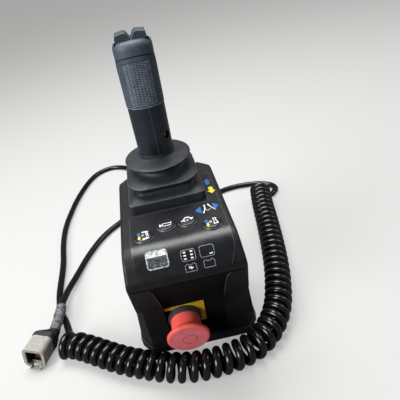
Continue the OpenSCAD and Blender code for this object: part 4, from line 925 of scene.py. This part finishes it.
# Marks on the keys: key, ink, and what is printed. A scissor stack for lift, a horn, a low arch on
# feet for slow, and a column on a foot for drive.
INKS = {"white": ink_white, "grey": ink_grey, "blue": ink_blue, "yellow": ink_yellow}
KEY_MARKS = [
    ("lift", "white", {"lines": (
        ([(-1.2, 3.6), (4.2, 3.8)], 1.1), ([(3.9, 3.2), (1.8, 1.3)], 0.5),
        ([(1.8, 3.0), (4.1, 1.2)], 0.5), ([(1.8, 1.3), (4.3, -1.2)], 0.5),
        ([(4.1, 1.2), (2.0, -1.4)], 0.5), ([(-0.9, -3.4), (4.4, -2.8)], 1.2))}),
    ("lift", "grey", {"shapes": (disc(-0.6, 0.4, 1.25),)}),
    ("lift", "blue", {"shapes": (disc(-3.9, 2.3, 1.45),)}),
    ("lift", "yellow", {"shapes": (arrow(-3.6, -1.6, 2.9, 3.6, -1),)}),
    ("horn", "white", {
        "loops": ((rounded(-3.0, -1.5, 4.0, 1.0, [0.9, 0.9, 0.5, 0.5], 4), 0.5),),
        "lines": (([(3.8, 1.0), (5.3, 1.7)], 0.6),),
        "shapes": ([(-5.6, 1.2), (-5.6, -2.0), (-3.2, -0.3)],)}),
    ("slow", "white", {"lines": (
        (arc(0, -0.5, 3.1, 175, 12), 0.9), ([(-5.2, -0.5), (-2.6, -0.4)], 0.9),
        ([(-2.6, -0.6), (-2.0, -1.7)], 0.8), ([(2.6, 0.3), (5.1, 1.2)], 1.0),
        ([(3.6, 0.4), (3.5, -0.8)], 0.8))}),
    ("slow", "grey", {"shapes": (disc(0, -0.6, 1.2),)}),
    ("drive", "white", {"lines": (
        ([(1.2, 3.4), (4.3, 3.7)], 0.7), ([(4.1, 3.5), (3.4, 1.5), (4.9, -1.4)], 0.6),
        ([(1.3, 3.2), (2.1, 1.2), (1.4, -2.0)], 0.5), ([(1.4, -2.0), (5.0, -1.6)], 0.8))}),
    ("drive", "grey", {"shapes": (disc(-1.0, 0.5, 1.4),)}),
    ("drive", "blue", {"shapes": (disc(-4.2, 1.9, 1.45),)}),
    ("drive", "yellow", {"shapes": (arrow(-3.6, -2.0, 2.9, 3.4, -1),)}),
]
for key, ink_name, forms in KEY_MARKS:
    print_marks(f"{key}_mark_{ink_name}", key + "_key", INKS[ink_name], on_key(key + "_key"),
                MARK_LIFT, **forms)
# Pale crescents of painted highlight on the near side of each key's ring
for key in KEYS:
    print_marks(key + "_rim", "box", film_highlight, on_ring(key), 0.02,
                lines=((arc(0, 0, CRESCENT_R, 195, 345, 30), CRESCENT_WIDE),))


def on_film(cx, cs):
    """Place for marks drawn round a point of the panel, v up along it."""
    return lambda u, v, h: on_panel(cx + u, cs - v, FILM_TOP + h)


# Marks on the panel: name, ink, the point they are drawn round and what is printed. Steering and
# lever arrows, which LEVEL lets be drawn by the box's own x and y, a block of settings, a box, and
# two batteries, one with a spark. Frames are THIN.
THIN = 0.36
BATTERY = [(-4.0, -2.7), (4.0, -2.7), (4.0, 2.1), (3.2, 2.1), (3.0, 2.9), (1.6, 2.9), (1.4, 2.1),
           (-1.4, 2.1), (-1.6, 2.9), (-3.0, 2.9), (-3.2, 2.1), (-4.0, 2.1)]
LEVEL = (0, -NOSE_Y)
PANEL_MARKS = [
    ("steer", "blue", LEVEL, {"shapes": (
        [(17.5, -46.4), (22.1, -41.8), (22.2, -51.2)],
        [(36.8, -45.0), (32.2, -40.4), (32.4, -49.8)],
        arrow(34.4, -7.4, 6.4, 9.6, 1))}),
    ("steer", "white", LEVEL, {"lines": (
        ([(23.3, -51.6), (25.4, -46.6)], 0.8), ([(25.4, -46.6), (25.6, -40.6)], 0.9),
        ([(28.4, -40.2), (30.4, -45.4)], (1.0, 0.8)), ([(30.4, -45.4), (33.2, -50.0)], 0.7),
        ([(25.8, -47.6), (27.6, -49.0), (29.6, -47.2)], 0.4))}),
    ("down", "yellow", LEVEL, {"shapes": (arrow(35.3, -21.4, 7.2, 10.4, -1),)}),
    ("sets", "grey", (4.2, 17.4), {
        "loops": ((rounded(-5.1, -3.6, 5.1, 4.2, [1.5] * 4), THIN),)}),
    ("sets", "white", (4.2, 17.4), {"shapes": [
        rounded(x - 0.95, y - 0.5, x + 0.95, y + 0.5, [0.2] * 4, 2)
        for x in (-2.5, 2.5) for y in (-2.0, 0.3, 2.6)]}),
    ("box", "grey", (17.9, 17.2), {
        "loops": ((rounded(-5.2, -3.7, 5.2, 4.3, [1.5] * 4), THIN),)}),
    ("box", "white", (17.9, 17.2), {"shapes": (
        rounded(1.6, -2.5, 2.7, -1.5, [0.2] * 4, 2), rounded(3.0, -2.4, 3.9, -1.3, [0.2] * 4, 2))}),
    ("charge", "grey", (4.4, 26.3), {"loops": ((BATTERY, THIN),)}),
    ("charge", "white", (4.4, 26.3), {"shapes": (
        [(-2.0, 0.9), (0.5, 1.1), (0.2, 0.3), (2.0, 0.2), (0.2, -1.5), (0.0, -0.5), (-1.9, -0.4),
         (-0.6, 0.3)],)}),
    ("cell", "grey", (18.0, 26.0), {"loops": ((BATTERY, THIN),)}),
]
for mark, ink_name, middle, forms in PANEL_MARKS:
    print_marks(f"{mark}_mark_{ink_name}", "box", INKS[ink_name], on_film(*middle), 0, **forms)


def make_window():
    """Display window: a pale frame round the glass, whose far third carries a painted reflection."""
    place = on_film(-18.2, 15.4)
    glass = slab("window_glass", rounded(-8.0, -6.6, 8.0, 6.6, [2.2] * 4), place, -0.3, 0.05,
                 lcd_glass, 1.5, "window_film")
    # Painted reflection on the glass's far part
    sheen = slab("window_sheen", rounded(-7.0, 2.0, 7.0, 5.9, [0.4, 0.4, 1.6, 1.6]), place, 0.02,
                 0.12, lcd_reflection, 1.5, "window_film")
    print_marks("window_frame", "box", window_rim, place, 0.1, slot="window_film",
                loops=((rounded(-7.6, -6.2, 7.6, 6.2, [2.0] * 4), 1.0),))
    print_marks("window_mark_grey", "box", ink_grey, place, 0.05, loops=(
        (disc(-2.6, -4.0, 0.95), 0.28), (disc(2.4, -3.9, 0.95), 0.28),
        (disc(4.9, -3.6, 0.85), 0.28)),
        lines=(([(-5.4, -3.4), (-5.0, -2.0)], 0.3), ([(-1.2, 0.9), (0.2, 1.0)], 0.4)))
    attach(glass, "box")
    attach(sheen, "box")
    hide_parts("display_window")


make_window()


# Face of the stop head, square to the button's leaning axis: a point on the axis, the ways out
# along it and up across it, and how far out the face lies
STOP_LEAN = math.radians(6.4)
STOP_AT, STOP_FACE = Vector((-11.0, -46.05, 51.3)), 27.0
# Radius of the face, coloured with painted shade, and the moulded ring on it: middle, radius and width
STOP_FACE_R, STOP_RING, STOP_RING_WIDE = 18.2, (0.8, -0.8, 6.6), 0.8
STOP_OUT = Vector((0, -math.cos(STOP_LEAN), -math.sin(STOP_LEAN)))
STOP_UP = Vector((0, -math.sin(STOP_LEAN), math.cos(STOP_LEAN)))


def on_stop(u, v, h):
    """Place on the stop head's face, u to the right and v up."""
    return (STOP_AT + Vector((u, 0, 0)) + v * STOP_UP + (STOP_FACE + h) * STOP_OUT) * MM


# The head's face, coloured darker as painted shade, and the ring moulded in it
print_marks("stop_face_shade", "stop_knob", stop_face_shade, on_stop, 0.02,
            shapes=(disc(0, 0, STOP_FACE_R, 72),), slot="stop_red")
print_marks("stop_ring", "stop_knob", stop_groove, on_stop, 0.1,
            loops=((disc(*STOP_RING, 48), STOP_RING_WIDE),), slot="stop_red")


# Handle: half width and depth of its oval, the power that squares it a little, and the length of
# its surface to a radian of turn
GRIP_HALF, GRIP_POWER, GRIP_ARC = (14.2, 13.2), 0.88, 13.7
# Rings of its body, and of the rubber ring at its foot, as (height, how far out)
GRIP_RINGS = [(204.3, -1.1), (204.5, -0.4), (205.2, 0), (224, 0), (243, 0), (262, 0), (284, 0)]
FOOT_RINGS = [(204.0, -2), (204.0, 0.3), (204.4, 0.5), (204.9, 0.3), (205.2, -2)]
# The cap sits on a joint that rises towards the front: its height on the axis and its slope
JOINT_Z, JOINT_SLANT = 274.6, 4.5 / 13.2
# Opening for the trigger in the handle's back: x, y and z, low and high
TRIGGER_SLOT = (-7.4, 3.8, 5, 30, 236, 262)
# Sunk screw: its way out from the handle's middle and its height, then the hole and the screw as
# (radius, distance out)
SCREW_WAY, SCREW_Z = math.radians(51), 218.4
SCREW_HOLE = [(3.1, 8.2), (3.1, 30)]
SCREW = [(2.7, 5.0), (2.7, 10.6), (2.4, 11.4), (1.6, 12.0), (0.6, 12.2)]
# Sleeve round the front: its foot, how far round it reaches each way and its fall below the joint,
# then the top and foot of the narrow collar over it, also below the joint
SLEEVE_FOOT, SLEEVE_TURN, SLEEVE_FALL = 243.4, math.radians(100), 3.2
COLLAR_TOP, COLLAR_FOOT = 0.2, 2.9
# How far both sink into the grip and stand out of it, and the step of their grid
SKIN_IN, SLEEVE_OUT, COLLAR_OUT, SKIN_STEP = -1.0, 0.3, 0.2, 2.4
# Raised dashes: columns and rows, their spacing, the lowest, and half a dash's length
DASH_COLUMNS, DASH_ROWS, DASH_STEP = 8, 25, (2.3, 1.2)
DASH_FOOT, DASH_HALF, DASH_WIDE = 245.4, 0.95, 0.5


def on_grip(turn, z, out=0):
    """A point on the handle at an angle from its front, positive to the right."""
    s, c = math.sin(turn), math.cos(turn)
    return mm(STICK_X + (GRIP_HALF[0] + out) * math.copysign(abs(s) ** GRIP_POWER, s),
              -(GRIP_HALF[1] + out) * math.copysign(abs(c) ** GRIP_POWER, c), z)


def along_grip(u, v, h):
    """Place on the handle by the distance u round it from its front, at height v."""
    return on_grip(u / GRIP_ARC, v, h)


def dash_place(u, v, h):
    """Place on the sleeve's front by u as seen from the front; dashes stand three inks thick."""
    share = (abs(u) / GRIP_HALF[0]) ** (1 / GRIP_POWER)
    return on_grip(math.copysign(math.asin(share), u), v, 0.5 + 3 * h)


def block(x0, x1, y0, y1, z0, z1, slant=0):
    """A box to cut with; slant tips its lower face up towards the front."""
    corners = [(x0, y0), (x1, y0), (x1, y1), (x0, y1)]
    return loft("cutter", [[mm(x, y, z0 - slant * y) for x, y in corners],
                           [mm(x, y, z1) for x, y in corners]], grip_dark_reflection)


def round_screw(name, rows, material):
    """A turned piece on the screw's axis from rows of (radius, distance out)."""
    run = Vector((math.sin(SCREW_WAY), -math.cos(SCREW_WAY), 0))
    side = Vector((math.cos(SCREW_WAY), math.sin(SCREW_WAY), 0))
    middle = Vector((STICK_X, 0, SCREW_Z))
    rings = [[middle + far * run + r * math.cos(a) * side + Vector((0, 0, r * math.sin(a)))
              for a in around(40)] for r, far in rows]
    return loft(name, in_metres(rings), material)


def make_handle():
    """The grip with its screw, sleeve, collar and foot ring, and the marks on them."""
    # The grip's bare body is coloured darker as painted dark reflection
    grip = loft("grip_body", [[on_grip(a, z, out) for a in around(120)] for z, out in GRIP_RINGS],
                grip_dark_reflection, False, 30, "grip_plastic")
    cut_away(grip, [block(-30, 30, -30, 30, JOINT_Z, 300, JOINT_SLANT), block(*TRIGGER_SLOT),
                    round_screw("cutter", SCREW_HOLE, grip_dark_reflection)], 30)
    screw = round_screw("grip_screw", SCREW, steel_zinc)
    reach = SLEEVE_TURN * GRIP_ARC
    across = [reach * (1 - k / 20) for k in range(41)]

    def below_joint(gap):
        """Line along the joint, gap below it, from right to left."""
        return [(u, JOINT_Z - along_grip(u, 0, 0).y / MM * JOINT_SLANT - gap) for u in across]
    sleeve = slab("grip_sleeve", [(-reach, SLEEVE_FOOT), (reach, SLEEVE_FOOT)]
                  + below_joint(SLEEVE_FALL), along_grip, SKIN_IN, SLEEVE_OUT, grip_nylon,
                  SKIN_STEP, "grip_plastic")
    collar = slab("grip_collar", below_joint(COLLAR_FOOT)[::-1] + below_joint(COLLAR_TOP),
                  along_grip, SKIN_IN, COLLAR_OUT, grip_nylon, SKIN_STEP, "grip_plastic")
    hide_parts("handle_grip")
    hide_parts("handle_screw")
    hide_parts("grip_pad")

    # Every second column of dashes stands half a step higher
    dashes = []
    for column in range(DASH_COLUMNS):
        u = DASH_STEP[0] * (column - (DASH_COLUMNS - 1) / 2)
        for row in range(DASH_ROWS):
            v = DASH_FOOT + DASH_STEP[1] * (row + column % 2 / 2)
            dashes.append(([(u - DASH_HALF, v), (u + DASH_HALF, v)], DASH_WIDE))
    print_marks("grip_dashes", "lever", grip_worn, dash_place, 0, dashes, slot="grip_plastic")
    print_marks("grip_edge", "lever", grip_worn, along_grip, 0.3, slot="grip_plastic",
                lines=(([(-19, SLEEVE_FOOT + 0.3), (19, SLEEVE_FOOT + 0.3)], 0.55),))
    print_marks("grip_seam", "lever", grip_nylon, along_grip, 0.02, slot="grip_plastic",
                lines=(([(1.2, 206), (1.2, 242.8)], 0.3),))
    foot = loft("grip_foot", [[on_grip(a, z, out) for a in around(96)] for z, out in FOOT_RINGS],
                boot_epdm, True, 30, "boot_rubber")
    for piece in (grip, screw, sleeve, collar, foot):
        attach(piece, "lever")


make_handle()


# Pieces that keep the CAD shape but read as one smooth moulding: node, finish, the angle up to
# which facets are smoothed, and the bevel of its edges
for node_name, material, sharp_angle, edge_mm in (
        ("housing", housing_abs, 28, 0), ("base_cover", cover_abs, 28, 0.5),
        ("handle_cap", grip_nylon, 28, 0.3), ("rocker", rocker_nylon, 40, 0.5),
        ("trigger", rocker_nylon, 35, 0.5)):
    smooth_copy(node_name, material, sharp_angle, edge_mm)


# Recess of the stop button: its middle and half width, the height where it starts to flare and
# how fast, its foot and top, and how far back its mouth and its floor lie
RECESS_X, RECESS_HALF, FLARE_Z, FLARE = 0.45, 29.3, 132, 0.32
RECESS_FOOT, RECESS_TOP, RECESS_FRONT, RECESS_BACK = 15, 158, -62, -38
# Stretch of its side edges that has a pale line of painted highlight, and the thickness of the line
LIT_EDGE_FOOT, LIT_EDGE_TOP, LIT_EDGE_R = 74, 152, 0.22


def shade_recess(housing):
    """Gives the walls of the stop button's recess a duller finish, coloured darker as painted shade."""
    housing.data.materials.append(recess_shade_abs)
    for face in housing.data.polygons:
        x, y, z = face.center / MM
        half = RECESS_HALF + FLARE * max(z - FLARE_Z, 0)
        within = (abs(x - RECESS_X) < half and y < RECESS_BACK and RECESS_FOOT < z < RECESS_TOP)
        # Its back lies behind its mouth; its roof faces down and its side walls face inwards
        if within and (y > RECESS_FRONT or face.normal.z < -0.25 or abs(face.normal.x) > 0.6):
            face.material_index = 1


def paint_edge_highlights(housing):
    """Thin pale lines of painted highlight along the recess's side edges."""
    work = bmesh.new()
    work.from_mesh(housing.data)
    lit_edges = []
    for edge in work.edges:
        a, b = (v.co for v in edge.verts)
        low, high = sorted((a.z / MM, b.z / MM))
        upright = abs((b - a).normalized().x) < 0.75
        # One of its faces is in the recess and the other is outside and looks to the front
        borders = len({face.material_index for face in edge.link_faces}) == 2
        front = any(face.material_index == 0 and face.normal.y < -0.3 for face in edge.link_faces)
        if (borders and front and upright and low > LIT_EDGE_FOOT and high < LIT_EDGE_TOP
                and edge.calc_face_angle(0) > math.radians(25)):
            lit_edges.append((a.copy(), b.copy()))
    work.free()
    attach(tube("recess_edges", lit_edges, LIT_EDGE_R, 2, edge_highlight), "box")


# Painted shade inside the recess, and lines of painted highlight along its side edges
shade_recess(bpy.data.objects["housing_smooth"])
paint_edge_highlights(bpy.data.objects["housing_smooth"])


# Floor, lamps and background. Lamps are name, place, size and watts, all aimed at one point.

FLOOR_HALF = 6
LAMPS = [("overhead", (-0.1, 0.30, 1.2), (1.0, 0.6), 20),
         ("front_left", (-1.0, -0.7, 0.8), (0.7, 0.6), 20),
         ("rim_right", (1.2, 0.3, 0.9), (0.3, 0.7), 3)]
LAMP_AIM = Vector((0, 0, 0.1))


def make_floor():
    """Paper that looks pale to the camera but throws back less light, so black stays black."""
    paper = bpy.data.materials.new("floor_paper")
    tree = empty_tree(paper)
    seen = add(tree, "LightPath").outputs["Is Camera Ray"]
    tone = add(tree, "Mix", {"Factor": seen, "A": linear("707070"), "B": linear("9a9a99")},
               data_type="RGBA")
    dull = add(tree, "BsdfDiffuse", {"Color": tone.outputs[2]})
    power = add(tree, "Math", {0: seen, 1: 0.36}, operation="MULTIPLY")
    glow = add(tree, "Emission", {"Color": linear("f4f4f2"), "Strength": power.outputs[0]})
    both = add(tree, "AddShader", {0: dull.outputs["BSDF"], 1: glow.outputs["Emission"]})
    add(tree, "OutputMaterial", {"Surface": both.outputs["Shader"]})
    mesh = bpy.data.meshes.new("floor")
    corners = ((-1, -1), (1, -1), (1, 1), (-1, 1))
    mesh.from_pydata([(FLOOR_HALF * x, FLOOR_HALF * y, 0) for x, y in corners], [], [(0, 1, 2, 3)])
    mesh.materials.append(paper)
    new_object("floor", mesh)


def light_scene():
    """A pale backdrop, which lights the object with a quarter of what the camera sees."""
    world = bpy.data.worlds.new("studio")
    bpy.context.scene.world = world
    tree = empty_tree(world)
    seen = add(tree, "LightPath").outputs["Is Camera Ray"]
    level = add(tree, "MapRange", {"Value": seen, "To Min": 0.2, "To Max": 0.8})
    glow = add(tree, "Background", {"Color": linear("f2f3f5"),
                                    "Strength": level.outputs["Result"]})
    add(tree, "OutputWorld", {"Surface": glow.outputs["Background"]})
    for name, place, size, power in LAMPS:
        data = bpy.data.lights.new(name, "AREA")
        data.shape = "RECTANGLE"
        data.size, data.size_y = size
        data.energy = power
        lamp = new_object(name, data)
        lamp.location = place
        lamp.rotation_euler = (LAMP_AIM - Vector(place)).to_track_quat("-Z", "Y").to_euler()


make_floor()
light_scene()
bpy.context.scene.view_settings.view_transform = "Standard"
